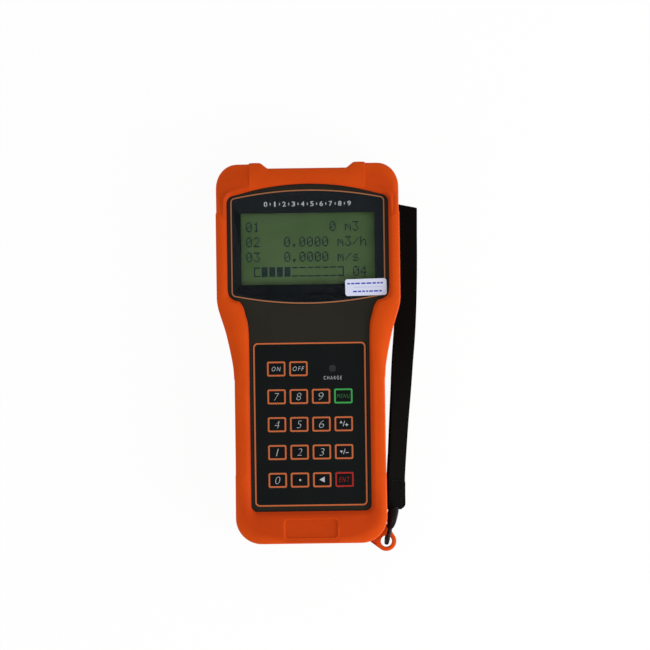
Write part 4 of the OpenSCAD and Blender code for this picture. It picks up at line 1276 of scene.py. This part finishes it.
@dataclass
class WristStrap:
    """Folded webbing beside the boot and the cord loop that ties it to the eyelet."""

    width: float = 12.2
    thick: float = 1.0
    ply_gap: float = 0.4
    cord_d: float = 2.5
    cord_sides: int = 24
    strands: int = 8
    twist: float = 2.1
    relief: Flat = (0.93, 0.07)
    hem: tuple[float, ...] = (3.6, 3.0, 2.4, 1.8, 1.2, 0.6)
    puff: float = 2.4
    puff_len: float = 9
    puff_at: float = 1.0
    puff_half: float = 2.6
    fold_skew: float = 0.19
    fold_len: float = 24
    fold_steps: int = 12
    spread: Flat = (0.45, 0.1)
    spread_len: float = 30
    nip_len: float = 4.0
    nip_in: Flat = (0.4, 2.6)
    draw_in: float = 2.0
    draw_from: float = 11
    draw_len: float = 8
    corner_len: float = 3.2
    corner_in: float = 3.4
    push: float = 1.2
    push_from: float = 17.2
    push_len: float = 2
    stitch: float = 1.7
    stitch_gap: float = 1.07
    thread_r: float = 0.26
    thread_taper: float = 0.55
    thread_bow: float = 0.14
    thread_lift: float = 0.04
    seam_inset: float = 0.9
    box_across: Flat = (4.4, -3.2)
    box_along: Flat = (10.0, 16.4)
    tape_length: float = 0.0
    seam: list[tuple[Ply, float]] = field(default_factory=list)

    FINE = 4
    FLATS = tuple(k / 6 for k in range(-5, 6))
    SELVEDGE = (1.05, 0.52, 0, -0.52, -1.05)

    ROUTE = (
        (47.5, -82.6, 5.3, 40), (47.7, -69, 5.3, 41), (48.6, -53.5, 5.2, 39), (49.8, -36, 4.7, 34),
        (51.1, -19, 4.1, 26), (52.3, -2, 3, 14), (53.6, 13, 1.9, 4), (54.6, 30, 1.5, 0),
        (55.2, 50, 1.5, 0), (55.4, 68, 1.5, 0), (55.6, 83.5, 1.5, 0),
    )
    CORD = (
        (45.9, -83.4, 6.7), (45.9, -86, 8.4), (45.6, -89.5, 11.8), (45, -93, 15.1), (44.2, -96, 16.9),
        (43.2, -99.6, 17.2), (42.6, -102.2, 16.5), (42.2, -104.2, 14.6), (41.9, -104.8, 12),
        (41.9, -104.2, 9.4), (42.1, -102.2, 7.5), (42.6, -99.6, 6.8), (43.2, -96.5, 6.4),
        (44.4, -93, 5.8), (45.9, -89.5, 5), (47.3, -86, 4.5), (48.1, -83.2, 4.3),
    )
    COLLAR = (
        (-84.7, 46.2, 7.6, 1.6, 1.7), (-84.9, 46.2, 7.6, 2.3, 2.6), (-85.5, 46.1, 7.4, 2.75, 3.5),
        (-86.6, 45.95, 7.6, 3.05, 4.0), (-88.2, 45.7, 8.2, 3.1, 4.5), (-90.0, 45.4, 9.2, 3.0, 4.9),
        (-91.6, 45.2, 10.4, 2.75, 4.9), (-93.0, 44.95, 12.2, 2.6, 4.0), (-94.2, 44.7, 14.3, 2.4, 3.0),
        (-95.4, 44.4, 16.2, 2.05, 1.95), (-96.5, 44.05, 16.85, 1.7, 1.65),
        (-96.8, 43.95, 16.95, 1.25, 1.25),
    )

    @staticmethod
    def minus(a: Sequence[float], b: Sequence[float]) -> Point:
        """Difference of two points."""
        return (a[0] - b[0], a[1] - b[1], a[2] - b[2])

    @staticmethod
    def unit(a: Sequence[float]) -> Point:
        """The same direction, one long."""
        size = math.sqrt(sum(c * c for c in a))
        return (a[0] / size, a[1] / size, a[2] / size)

    @staticmethod
    def cross(a: Sequence[float], b: Sequence[float]) -> Point:
        """The direction at right angles to both."""
        return (a[1] * b[2] - a[2] * b[1], a[2] * b[0] - a[0] * b[2], a[0] * b[1] - a[1] * b[0])

    def frames(self, route: Sequence[Sequence[float]]) -> list[tuple[Point, Point, Point, Point]]:
        """Place, direction, across and normal at each point of the webbing's middle."""
        made = []
        last = len(route) - 1
        for i, here in enumerate(route):
            t = self.unit(self.minus(route[min(i + 1, last)][:3], route[max(i - 1, 0)][:3]))
            lean = math.radians(here[3])
            w = (-math.cos(lean), 0.0, math.sin(lean))
            along = sum(a * b for a, b in zip(w, t))
            w = self.unit(tuple(a - along * b for a, b in zip(w, t)))
            made.append(((here[0], here[1], here[2]), t, w, self.cross(t, w)))
        return made

    def swell(self, u: float, near: float) -> float:
        """How far a ply stands off to make room for the cord's ends, near the sewn end."""
        share = max(1 - near / self.puff_len, 0.0) ** 1.7
        beside = held((abs(u - self.puff_at) - self.puff_half) / self.puff_half)
        return self.puff * share * 0.5 * (1 + math.cos(math.pi * beside))

    def edges(self, upper: bool, near: float) -> tuple[float, float, float]:
        """The tape's two selvedges, which spread, draw in and round off near the sewn end.

        Args:
            upper: Whether it is the upper ply.
            near: Distance along the tape to its nearer end.

        Returns:
            Where the left and the right selvedge lie, and how far the right one is pushed out.
        """
        close = max(1 - near / self.spread_len, 0.0) ** 0.5
        left, right = self.width / 2 + self.spread[0] * close, -self.width / 2 + self.spread[1] * close
        nipped = max(1 - near / self.nip_len, 0.0) ** 2
        left -= self.nip_in[0] * nipped
        if upper:
            drawn = self.draw_in * eased((self.draw_from - near) / self.draw_len)
            return left, right + drawn + self.nip_in[1] * nipped, 0.0
        round_off = 1 - math.sqrt(1 - max(1 - near / self.corner_len, 0.0) ** 2)
        pushed = self.push * eased((self.push_from - near) / self.push_len)
        return left, right + self.corner_in * round_off, pushed

    def ribbon(self, ply: Ply, near: float, far: float) -> list[Point]:
        """One ring round the tape, with its selvedges rounded.

        Args:
            ply: Where the tape is and how it lies there.
            near: Distance along the tape to its nearer end.
            far: Distance to the fold.

        Returns:
            The ring's points.
        """
        left, right, wide = self.edges(ply.upper, near)
        shift, r = (left + right) / 2, self.thick / 2
        edge = (left - right) / 2 - r
        skew = self.fold_skew * max(1 - far / self.fold_len, 0.0) ** 2
        ring = [(k * edge, 0.5) for k in self.FLATS]
        ring += [(edge + r * math.cos(a), 0.5 * math.sin(a)) for a in self.SELVEDGE]
        ring += [(-u, -v) for u, v in ring]
        made = []
        for u, v in ring:
            u += shift
            x, y, z = ply.point(u, v * self.thick + self.swell(u, near), skew * u)
            made.append((x + wide * held((-u - 1.5) / 4.5), y, z))
        return made

    def plies(self) -> list[Ply]:
        """The tape's middle line, out on its upper ply, round the fold and back on the lower one."""
        route = [tuple(p) for p in self.ROUTE]
        for _ in range(self.FINE):
            route = rounder(route, False)
        t = self.unit(self.minus(route[0][:3], route[1][:3]))
        lean = route[0][3]
        route = [tuple(c + d * h for c, d in zip(route[0], t)) + (lean,) for h in self.hem] + route
        marks = self.frames(route)
        off = (self.thick + self.ply_gap) / 2
        made = [Ply(spot, t, w, n, True).raised(off) for spot, t, w, n in marks]
        spot, t, w, n = marks[-1]
        for step in range(1, self.fold_steps):
            a = math.radians(180 * step / self.fold_steps)
            m = tuple(p * math.cos(a) + q * math.sin(a) for p, q in zip(n, t))
            made.append(Ply(spot, t, w, m, True).raised(off))
        for spot, t, w, n in reversed(marks):
            made.append(Ply(spot, t, w, tuple(-c for c in n), False).raised(off))
        return made

    def webbing(self) -> bpy.types.Object:
        """The tape, whose two ends lie on each other with the cord's ends between them."""
        plies = self.plies()
        runs = [0.0]
        for before, here in zip(plies, plies[1:]):
            runs.append(runs[-1] + math.dist(before.spot, here.spot))
        total = runs[-1]
        rows = [
            self.ribbon(ply, min(run, total - run), abs(run - total / 2)) for ply, run in zip(plies, runs)
        ]
        piece = Bench.swept("strap_tape", rows)
        sides = [k * (self.width - self.thick) / 2 for k in self.FLATS]
        rim = [self.width / 2] * len(self.SELVEDGE)
        ring = sides + rim + sides[::-1] + [-u for u in rim]
        Bench.ring_values(piece, "run", lambda row, place: runs[min(row, len(runs) - 1)])
        Bench.ring_values(piece, "side", lambda row, place: ring[place])
        Bench.smooth(piece, 40)
        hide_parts("strap_webbing")
        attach(piece, "strap")
        Palette.WEBBING.coat(piece, "strap_weave")
        self.tape_length = total
        self.seam = list(zip(plies, runs))
        return piece

    def stitches(self) -> bpy.types.Object:
        """A sewn box through both plies, just short of the cord's ends."""
        rows = []
        for step in range(7):
            s = step / 3 - 1
            size, bow = self.thread_r * (1 - self.thread_taper * s ** 4), self.thread_bow * (1 - s * s)
            rows.append([
                (s * self.stitch / 2, size * math.cos(a), size * math.sin(a) + bow)
                for a in (math.tau * k / 8 for k in range(8))
            ])
        first = Bench.swept("stitch", rows)
        Bench.smooth(first, 70)
        (left, right), (start, end), count = self.box_across, self.box_along, 4
        down = [start + self.stitch * self.stitch_gap * k + self.seam_inset for k in range(count)]
        across = [right + (left - right) * (k + 0.5) / count for k in range(count)]
        places = [(u, near, False) for u in (left, right) for near in down]
        places += [(u, near, True) for near in (start, end) for u in across]
        frames = []
        for u, near, sideways in places:
            for run in (near, self.tape_length - near):
                ply = min(self.seam, key=lambda item: abs(item[1] - run))[0]
                x, z = (ply.w if sideways else ply.t), ply.n
                y = self.cross(z, x)
                at = ply.point(u, self.thick / 2 + self.thread_lift + self.swell(u, near), 0.0)
                axes = [(x[k], y[k], z[k], at[k] * MM) for k in range(3)]
                frames.append(Matrix(axes + [(0, 0, 0, 1)]))
        piece = Bench.scattered("strap_stitches", first, frames)
        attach(piece, "strap")
        Palette.THREAD.coat(piece, "strap_weave")
        return piece

    def cord(self) -> tuple[bpy.types.Object, list[Point], float]:
        """The braided cord, its path in metres and its length in millimetres."""
        route = [tuple(p) for p in self.CORD]
        for _ in range(self.FINE):
            route = rounder(route, False)
        last = len(route) - 1
        runs, length = [], 0.0
        for i, spot in enumerate(route):
            length += math.dist(spot, route[max(i - 1, 0)])
            runs.append(length)
        rows, lifts = [], []
        for i, spot in enumerate(route):
            t = self.unit(self.minus(route[min(i + 1, last)], route[max(i - 1, 0)]))
            u = self.unit((1 - t[0] * t[0], -t[0] * t[1], -t[0] * t[2]))
            v = self.cross(t, u)
            row, lift = [], []
            for j in range(self.cord_sides):
                a = 2 * math.pi * j / self.cord_sides
                turn, strand = runs[i] * self.twist, a * self.strands / 2
                high = max(math.sin(strand + turn), math.sin(strand - turn))
                r = self.cord_d / 2 * (self.relief[0] + self.relief[1] * high)
                c, s = math.cos(a), math.sin(a)
                row.append(tuple(spot[k] + r * (u[k] * c + v[k] * s) for k in range(3)))
                lift.append(0.5 + 0.5 * high)
            rows.append(row)
            lifts.append(lift)
        piece = Bench.swept("strap_loop", rows)
        Bench.ring_values(piece, "run", lambda row, place: runs[min(row, last)])
        Bench.ring_values(piece, "side", lambda row, place: place / self.cord_sides)
        Bench.ring_values(piece, "lift", lambda row, place: lifts[min(row, last)][place])
        Bench.smooth(piece, 80)
        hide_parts("strap_cord")
        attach(piece, "strap")
        Palette.CORD.coat(piece, "strap_weave")
        return piece, [tuple(c * MM for c in p) for p in route], length

    def collar(self) -> bpy.types.Object:
        """The moulded sleeve that holds the cord's two legs together and tapers on to the upper one."""
        sides, square = 32, 0.8
        turns = [(math.cos(math.tau * k / sides), math.sin(math.tau * k / sides)) for k in range(sides)]
        fuller = [tuple(math.copysign(abs(c) ** square, c) for c in turn) for turn in turns]
        rows = [
            [(cx + wide * c, y, cz + tall * s) for c, s in fuller]
            for y, cx, cz, wide, tall in self.COLLAR
        ]
        piece = Bench.swept("strap_collar", rows)
        Bench.smooth(piece, 50)
        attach(piece, "strap")
        Palette.COLLAR.coat(piece, "strap_weave")
        return piece

    def build(self) -> list[bpy.types.Object]:
        """Makes the strap: its tape, cord loop, stitches and collar."""
        loop, path, length = self.cord()
        collar = self.collar()
        tape = self.webbing()
        length * MM
        thread = self.stitches()
        self.width * MM
        return [tape, loop, thread, collar]


# Panels and keys


@dataclass
class PrintedFace:
    """The upper face of a sheet, with the heights between which its print lies."""

    face: float = 36.05
    ink: float = 0.03
    sunk: float = 0.02

    def levels(self) -> Flat:
        """Heights of the print's underside and of its own face."""
        return (self.face - self.sunk, self.face + self.ink)


@dataclass
class ScreenPanel(PrintedFace):
    """The printed panel round the display: border line, scale, and the print on the film's pull tab."""

    half_w: float = 43.4
    foot: float = 29.95
    top: float = 94.45
    arch: float = 4.1
    r: float = 3.0
    line: float = 0.70
    line_in: float = 0.25
    scale_count: int = 10
    scale_pitch: float = 5.2
    scale_y: float = 86.2
    scale_h: float = 2.7
    number_w: float = 1.9
    one_w: float = 0.8
    tick_w: float = 0.45
    tab_at: Flat = (32.2, 39.05)
    tab_turn: float = 1.0
    tab_rise: float = 0.27
    dash_h: float = 0.85
    dot_count: int = 23
    dot_pitch: float = 0.72
    dot_at: Flat = (-6.6, 0.05)
    dot_size: Flat = (0.34, 0.22)

    TAB_ROWS = (
        (2.2, (
            (-9.6, 1.6), (-7.3, 1.9), (-4.6, 2.6), (-1.4, 2.4), (1.7, 2.7), (4.7, 2.0), (7.0, 1.5),
            (8.9, 1.3),
        )),
        (-2.3, ((-6.2, 2.2), (-3.6, 1.8), (-1.4, 1.5), (0.6, 1.2), (2.8, 2.2), (5.6, 2.4), (8.1, 1.5))),
    )

    def outline(self, inset: float) -> list[Flat]:
        """The panel's arched outline, drawn in by a distance."""
        w, y0, y1 = self.half_w - inset, self.foot + inset, self.top - inset
        r = max(self.r - inset, 0.5)
        h, n = w - r, 16
        low, high = y0 + self.arch + r, y1 - self.arch - r
        loop = [(h * i / n, y0 + self.arch * (i / n) ** 2) for i in range(-n, n + 1)]
        loop += arc(h, low, r, -75, 0) + arc(h, high, r, 0, 75)
        loop += [(h * i / n, y1 - self.arch * (i / n) ** 2) for i in range(n, -n - 1, -1)]
        loop += arc(-h, high, r, 105, 180) + arc(-h, low, r, 180, 255)
        return loop

    def border(self) -> bpy.types.Object:
        """The thin line just inside the panel's edge."""
        outer, inner = self.outline(self.line_in), self.outline(self.line_in + self.line)
        piece = Bench.band("screen_line", outer, inner, *self.levels())
        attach(piece, "meter")
        Palette.BROWN_INK.coat(piece, "panel_print")
        return piece

    def scale(self) -> bpy.types.Object:
        """A plain row of numbers and ticks at the panel's head."""
        pieces = []
        last, y = self.scale_count - 1, self.scale_y
        for i in range(self.scale_count):
            x = (i - last / 2) * self.scale_pitch
            size = (self.one_w if i == 1 else self.number_w, self.scale_h)
            pieces.append(Bench.letters(f"number_{i}", str(i), size, (x, y), *self.levels(), weight=0.01))
            if i < last:
                loop = rounded(self.tick_w, self.scale_h / 2, 0.1, 2, (x + self.scale_pitch / 2, y))
                pieces.append(Bench.plate(f"tick_{i}", loop, *self.levels()))
        piece = Bench.joined("screen_scale", pieces)
        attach(piece, "meter")
        Palette.PALE_INK.coat(piece, "panel_print")
        return piece

    def tab_print(self) -> bpy.types.Object:
        """Two rows of plain dashes with a dotted line between them, on the pull tab."""
        marks = [(x, y, wide, self.dash_h) for y, dashes in self.TAB_ROWS for x, wide in dashes]
        x, y = self.dot_at
        marks += [(x + self.dot_pitch * i, y, *self.dot_size) for i in range(self.dot_count)]
        z = self.face + self.tab_rise
        made = []
        for i, (x, y, wide, tall) in enumerate(marks):
            loop = turned(rounded(wide, tall, 0.1, 2, (x, y)), self.tab_turn, self.tab_at)
            made.append(Bench.plate(f"dash_{i}", loop, z - self.sunk, z + self.sunk))
        piece = Bench.joined("tab_dashes", made)
        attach(piece, "meter")
        Palette.TAB_INK.coat(piece, "tab_print")
        return piece

    def build(self) -> list[bpy.types.Object]:
        """Makes the panel's prints."""
        return [self.border(), self.scale(), self.tab_print()]


@dataclass
class Display(PrintedFace):
    """The character display: four rows of sixteen places, each of five by seven dots."""

    face: float = 33.40
    ink: float = 0.02
    left: float = -34.7
    pitch: float = 4.27
    dot_w: float = 0.66
    dot_h: float = 0.76
    step_x: float = 0.68
    step_y: float = 0.79
    dot_in: float = 0.35
    rows: tuple[float, ...] = (73.5, 65.0, 56.6, 48.2)

    GLYPHS = {
        "0": (14, 17, 19, 21, 25, 17, 14), "1": (4, 12, 4, 4, 4, 4, 14), "2": (14, 17, 1, 2, 4, 8, 31),
        "3": (31, 2, 4, 2, 1, 17, 14), "4": (2, 6, 10, 18, 31, 2, 2), ".": (0, 0, 0, 0, 0, 12, 12),
        "m": (0, 0, 26, 21, 21, 17, 17), "/": (0, 1, 2, 4, 8, 16, 0), "h": (16, 16, 22, 25, 17, 17, 17),
        "s": (0, 0, 14, 16, 14, 1, 30), "=": (31, 31, 31, 31, 31, 31, 31), "-": (31, 0, 0, 0, 0, 0, 31),
        "|": (31, 16, 16, 16, 16, 16, 31), "+": (31, 1, 1, 1, 1, 1, 31),
    }
    LINES = ("01         0 m3", "02   0.0000 m3/h", "03   0.0000 m/s", " |====------+ 04")

    def dots(self) -> list[Flat]:
        """The middle of every dark dot. Each number of a glyph is one row of dots in binary."""
        made = []
        for y, line in zip(self.rows, self.LINES):
            for column, letter in enumerate(line):
                left = self.left + column * self.pitch + self.dot_in
                for r, bits in enumerate(self.GLYPHS.get(letter, ())):
                    dark = [c for c in range(5) if bits >> (4 - c) & 1]
                    made += [(left + c * self.step_x, y + (3 - r) * self.step_y) for c in dark]
        return made

    def build(self) -> bpy.types.Object:
        """Makes one dot, copies it to every place and joins them."""
        first = Bench.plate("dot", rounded(self.dot_w, self.dot_h, 0.08, 1), *self.levels())
        places = [Matrix.Translation((x * MM, y * MM, 0)) for x, y in self.dots()]
        piece = Bench.scattered("display_dots", first, places)
        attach(piece, "meter")
        Palette.DOT.coat(piece, "display_glass")
        return piece


@dataclass
class Keypad(PrintedFace):
    """The overlay's border line, the lamp's word, and each key's printed frame and sign."""

    middle: float = -37.35
    width: float = 63.8
    height: float = 92.0
    line_in: Flat = (0.8, 0.3)
    line: float = 0.85
    line_r: Flat = (2.5, 1.85)
    key_w: float = 10.25
    key_h: float = 8.3
    key_r: Flat = (0.95, 0.4)
    pitch_x: float = 12.47
    pitch_y: float = 15.6
    stroke: float = 0.88
    word_at: Flat = (12.9, -11.45)
    word_size: Flat = (10.1, 2.0)
    word_weight: float = -0.006
    word_spacing: float = 1.45
    sign_spacing: float = 1.35
    minus_at: Flat = (1.65, -0.55)
    minus_size: Flat = (1.7, 0.42)
    down_rise: float = 0.9

    KEYS = (
        ("on", 0, 0, "ON"), ("off", 1, 0, "OFF"), ("7", 0, 1, "7"), ("8", 1, 1, "8"), ("9", 2, 1, "9"),
        ("menu", 3, 1, "MENU"), ("4", 0, 2, "4"), ("5", 1, 2, "5"), ("6", 2, 2, "6"), ("up", 3, 2, "up"),
        ("1", 0, 3, "1"), ("2", 1, 3, "2"), ("3", 2, 3, "3"), ("down", 3, 3, "down"), ("0", 0, 4, "0"),
        ("point", 1, 4, "point"), ("left", 2, 4, "left"), ("enter", 3, 4, "ENT"),
    )
    SIGNS = {
        "ON": ((5.0, 2.5), 0.25, -0.008), "OFF": ((6.4, 2.5), 0.25, -0.008),
        "MENU": ((7.4, 2.2), 0.25, -0.012), "ENT": ((5.9, 2.8), 0.25, -0.014),
        "1": ((1.5, 4.1), 0.2, -0.026), "digit": ((2.75, 4.1), 0.2, -0.026),
    }
    BACK = ((-1.65, 0.1), (1.35, -1.5), (1.35, 1.7))
    ARROW = ((-2.3, 0.35), (-0.7, 0.35), (-1.5, 1.75))
    SLASH = ((-0.55, -1.4), (-0.2, -1.4), (0.75, 1.6), (0.4, 1.6))

    def spot(self, column: int, row: int) -> Flat:
        """The middle of a key."""
        return ((column - 1.5) * self.pitch_x, self.middle + (2 - row) * self.pitch_y)

    def border(self) -> bpy.types.Object:
        """The orange line round the keypad."""
        wide, tall = self.width - self.line_in[0], self.height - self.line_in[1]
        loops = [
            rounded(wide - 2 * inset, tall - 2 * inset, r, ARC_STEPS, (0.0, self.middle))
            for inset, r in zip((0.0, self.line), self.line_r)
        ]
        piece = Bench.band("keypad_line", *loops, *self.levels())
        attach(piece, "meter")
        Palette.ORANGE_INK.coat(piece, "panel_print")
        return piece

    def lamp_word(self) -> bpy.types.Object:
        """The word under the charging lamp."""
        piece = Bench.letters(
            "lamp_word", "CHARGE", self.word_size, self.word_at, *self.levels(),
            weight=self.word_weight, spacing=self.word_spacing,
        )
        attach(piece, "meter")
        Palette.PALE_INK.coat(piece, "panel_print")
        return piece

    def arrow_sign(self, label: str, at: Flat, up: bool) -> bpy.types.Object:
        """An arrow, a slash, and a plus sign on the up key or a minus sign on the down key."""
        x, y = at
        low, high = self.levels()
        flip, rise = (1, 0.0) if up else (-1, self.down_rise)
        arrow = moved([(px, py * flip) for px, py in self.ARROW][::flip], (x, y + rise))
        pieces = [
            Bench.plate(label, arrow, low, high),
            Bench.plate("slash", moved(self.SLASH, at), low, high),
        ]
        wide, thin = self.minus_size
        middle = (x + self.minus_at[0], y + self.minus_at[1])
        pieces.append(Bench.plate("minus", rounded(wide, thin, 0.08, 2, middle), low, high))
        if up:
            pieces.append(Bench.plate("upright", rounded(thin, wide, 0.08, 2, middle), low, high - 0.005))
        return Bench.joined(label, pieces)

    def sign(self, name: str, text: str, at: Flat) -> bpy.types.Object:
        """The sign on one key.

        Args:
            name: The key's name.
            text: Its word or number, or the name of its drawn sign.
            at: The key's middle.

        Returns:
            The piece.
        """
        label = f"sign_{name}"
        if text == "point":
            return Bench.plate(label, rounded(1.1, 1.1, 0.4, 4, (at[0] + 0.1, at[1])), *self.levels())
        if text == "left":
            return Bench.plate(label, moved(self.BACK, at), *self.levels())
        if text in ("up", "down"):
            return self.arrow_sign(label, at, text == "up")
        size, slant, weight = self.SIGNS.get(text, self.SIGNS["digit"])
        return Bench.letters(
            label, text, size, at, *self.levels(), slant=slant, weight=weight, spacing=self.sign_spacing
        )

    def key(self, name: str, column: int, row: int, text: str) -> list[bpy.types.Object]:
        """One key's frame line and sign, which move with it."""
        at = self.spot(column, row)
        loops = [
            rounded(self.key_w - 2 * inset, self.key_h - 2 * inset, r, 5, at)
            for inset, r in zip((0.0, self.stroke), self.key_r)
        ]
        frame_line = Bench.band(f"frame_{name}", *loops, *self.levels())
        sign = self.sign(name, text, at)
        line_ink = {"menu": Palette.GREEN_INK, "enter": Palette.RED_INK}.get(name, Palette.ORANGE_INK)
        sign_ink = {"menu": Palette.DEEP_GREEN_INK, "enter": Palette.RED_INK}.get(name, Palette.PALE_INK)
        slot = {"menu": "key_green", "enter": "key_red"}.get(name, "key_print")
        line_ink.coat(frame_line, slot)
        sign_ink.coat(sign, slot)
        for piece in (frame_line, sign):
            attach(piece, f"key_{name}_button")
        return [frame_line, sign]

    def build(self) -> list[bpy.types.Object]:
        """Makes every print of the keypad."""
        made = [self.border(), self.lamp_word()]
        for entry in self.KEYS:
            made += self.key(*entry)
        return made


# Carried-over solids


class CarriedSolids:
    """The solids whose shape is right and which only need their finish."""

    FINISHES = {
        "front_shell": Palette.HOUSING, "rear_shell": Palette.HOUSING, "shell_gasket": Palette.GASKET,
        "screen_panel": Palette.PANEL, "screen_lens": Palette.LENS, "screen_film": Palette.FILM,
        "film_tab": Palette.TAB, "keypad_overlay": Palette.OVERLAY, "keypad_spacer": Palette.SPACER,
        "keypad_circuit": Palette.SPACER, "key_domes": Palette.SPRING, "charge_led": Palette.LAMP,
        "lcd_glass": Palette.CRYSTAL, "lcd_bezel": Palette.FRAME, "lcd_backlight": Palette.GUIDE,
        "lcd_board": Palette.BOARD, "lcd_header": Palette.BLACK, "main_board": Palette.BOARD,
        "board_chips": Palette.BLACK, "keypad_tail": Palette.SPACER, "buzzer": Palette.BLACK,
        "upstream_socket": Palette.NICKEL, "downstream_socket": Palette.NICKEL,
        "upstream_ring": Palette.RING_RED, "downstream_ring": Palette.RING_BLUE,
        "socket_nuts": Palette.NICKEL, "socket_inserts": Palette.INSERT, "charger_jack": Palette.BLACK,
        "serial_port": Palette.NICKEL, "serial_insert": Palette.BLACK, "jack_screws": Palette.NICKEL,
        "battery_cells": Palette.CELL, "battery_holder": Palette.BLACK, "battery_contacts": Palette.SPRING,
        "case_screws": Palette.STEEL, "board_screws": Palette.STEEL, "screw_inserts": Palette.BRASS,
    }

    def dress(self) -> int:
        """Gives each shown solid its finish.

        Returns:
            How many were dressed.
        """
        count = 0
        for name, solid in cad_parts.items():
            finish = self.FINISHES.get(name, Palette.KEY_FACE if name.startswith("key_") else None)
            if finish:
                finish.coat(solid)
                count += 1
        return count


# Studio


@dataclass
class Studio:
    """Camera, floor and soft lights."""

    centre: Flat = (8.97, 18.13)
    distance: float = 6000.0
    front: float = 39.5
    seen: float = 364.0
    roll: float = -0.80
    sensor: float = 36.0
    floor_size: float = 8.0
    floor_z: float = -0.0002
    floor_glow: float = 0.95
    even: float = 0.75

    LAMPS = (
        ("right_lamp", (0.62, -0.30, 0.26), 0.5, 4.6),
        ("left_lamp", (-0.9, -0.2, 0.3), 0.5, 0.6),
    )

    def camera(self) -> bpy.types.Object:
        """Looks straight down on the meter."""
        Bench.clear()
        height = self.front + self.distance
        bpy.ops.object.camera_add(
            location=(self.centre[0] * MM, self.centre[1] * MM, height * MM),
            rotation=(0, 0, math.radians(self.roll)),
        )
        camera = bpy.context.object
        camera.data.sensor_width = self.sensor
        camera.data.lens = self.sensor * self.distance / self.seen
        camera.data.clip_start = 0.01
        bpy.context.scene.camera = camera
        return camera

    def floor(self) -> bpy.types.Object:
        """A white table that keeps the shadow."""
        Bench.clear()
        bpy.ops.mesh.primitive_plane_add(size=self.floor_size, location=(0, 0, self.floor_z))
        piece = bpy.context.object
        piece.name = "table"
        recipe = Recipe("table_white")
        recipe.set(Base_Color=shade("f4f4f4"), Roughness=0.9, Specular_IOR_Level=0.0)
        glow = recipe.node("ShaderNodeEmission", {}, {"Color": (1, 1, 1, 1), "Strength": 1.0})
        lit = Wire(recipe, recipe.shader.outputs[0])
        share = recipe.rays() * self.floor_glow
        recipe.surface(recipe.node("ShaderNodeMixShader", {}, {0: share, 1: lit, 2: glow}))
        piece.data.materials.append(recipe.material)
        return piece

    def lamp(self, name: str, at: Point, size: float, power: float) -> bpy.types.Object:
        """A square soft lamp that faces the meter.

        Args:
            name: The lamp's name.
            at: Its place in metres.
            size: The length of its side in metres.
            power: Its power in watts.

        Returns:
            The lamp.
        """
        Bench.clear()
        bpy.ops.object.light_add(type="AREA", location=at)
        lamp = bpy.context.object
        lamp.name = name
        lamp.data.size = size
        lamp.data.energy = power
        x, y, z = at
        lamp.rotation_euler = (math.atan2(math.hypot(x, y), z), 0, math.atan2(x, -y))
        return lamp

    def world(self) -> None:
        """Even pale surroundings that the camera sees as white."""
        world = bpy.data.worlds.new("surroundings")
        bpy.context.scene.world = world
        tree = NodeTree(world)
        dim = tree.node("ShaderNodeBackground", {}, {"Color": (1, 1, 1, 1), "Strength": self.even})
        white = tree.node("ShaderNodeBackground", {}, {"Color": (1, 1, 1, 1), "Strength": 1.0})
        seen = tree.node("ShaderNodeLightPath", {}, {}, "Is Camera Ray")
        mixed = tree.node("ShaderNodeMixShader", {}, {0: seen, 1: dim, 2: white})
        tree.node("ShaderNodeOutputWorld", {}, {"Surface": mixed})

    def build(self) -> None:
        """Sets the floor, the lights and the view."""
        self.floor()
        self.world()
        for name, at, size, power in self.LAMPS:
            self.lamp(name, at, size, power)
        bpy.context.scene.view_settings.view_transform = "Standard"


def main() -> None:
    """Builds the sub-assemblies in order."""
    logging.basicConfig(level=logging.INFO, format="%(name)s: %(message)s")
    studio = Studio()
    studio.camera()
    for piece in WristStrap().build():
        LOG.info("strap: %s, %d faces", piece.name, len(piece.data.polygons))
    boot = ProtectiveBoot().build()
    LOG.info("boot: %d faces", len(boot.data.polygons))
    pieces = ScreenPanel().build() + [Display().build()] + Keypad().build()
    LOG.info("prints: %d pieces, %d faces", len(pieces), sum(len(p.data.polygons) for p in pieces))
    LOG.info("solids dressed: %d", CarriedSolids().dress())
    studio.build()


if __name__ == "__main__":
    main()
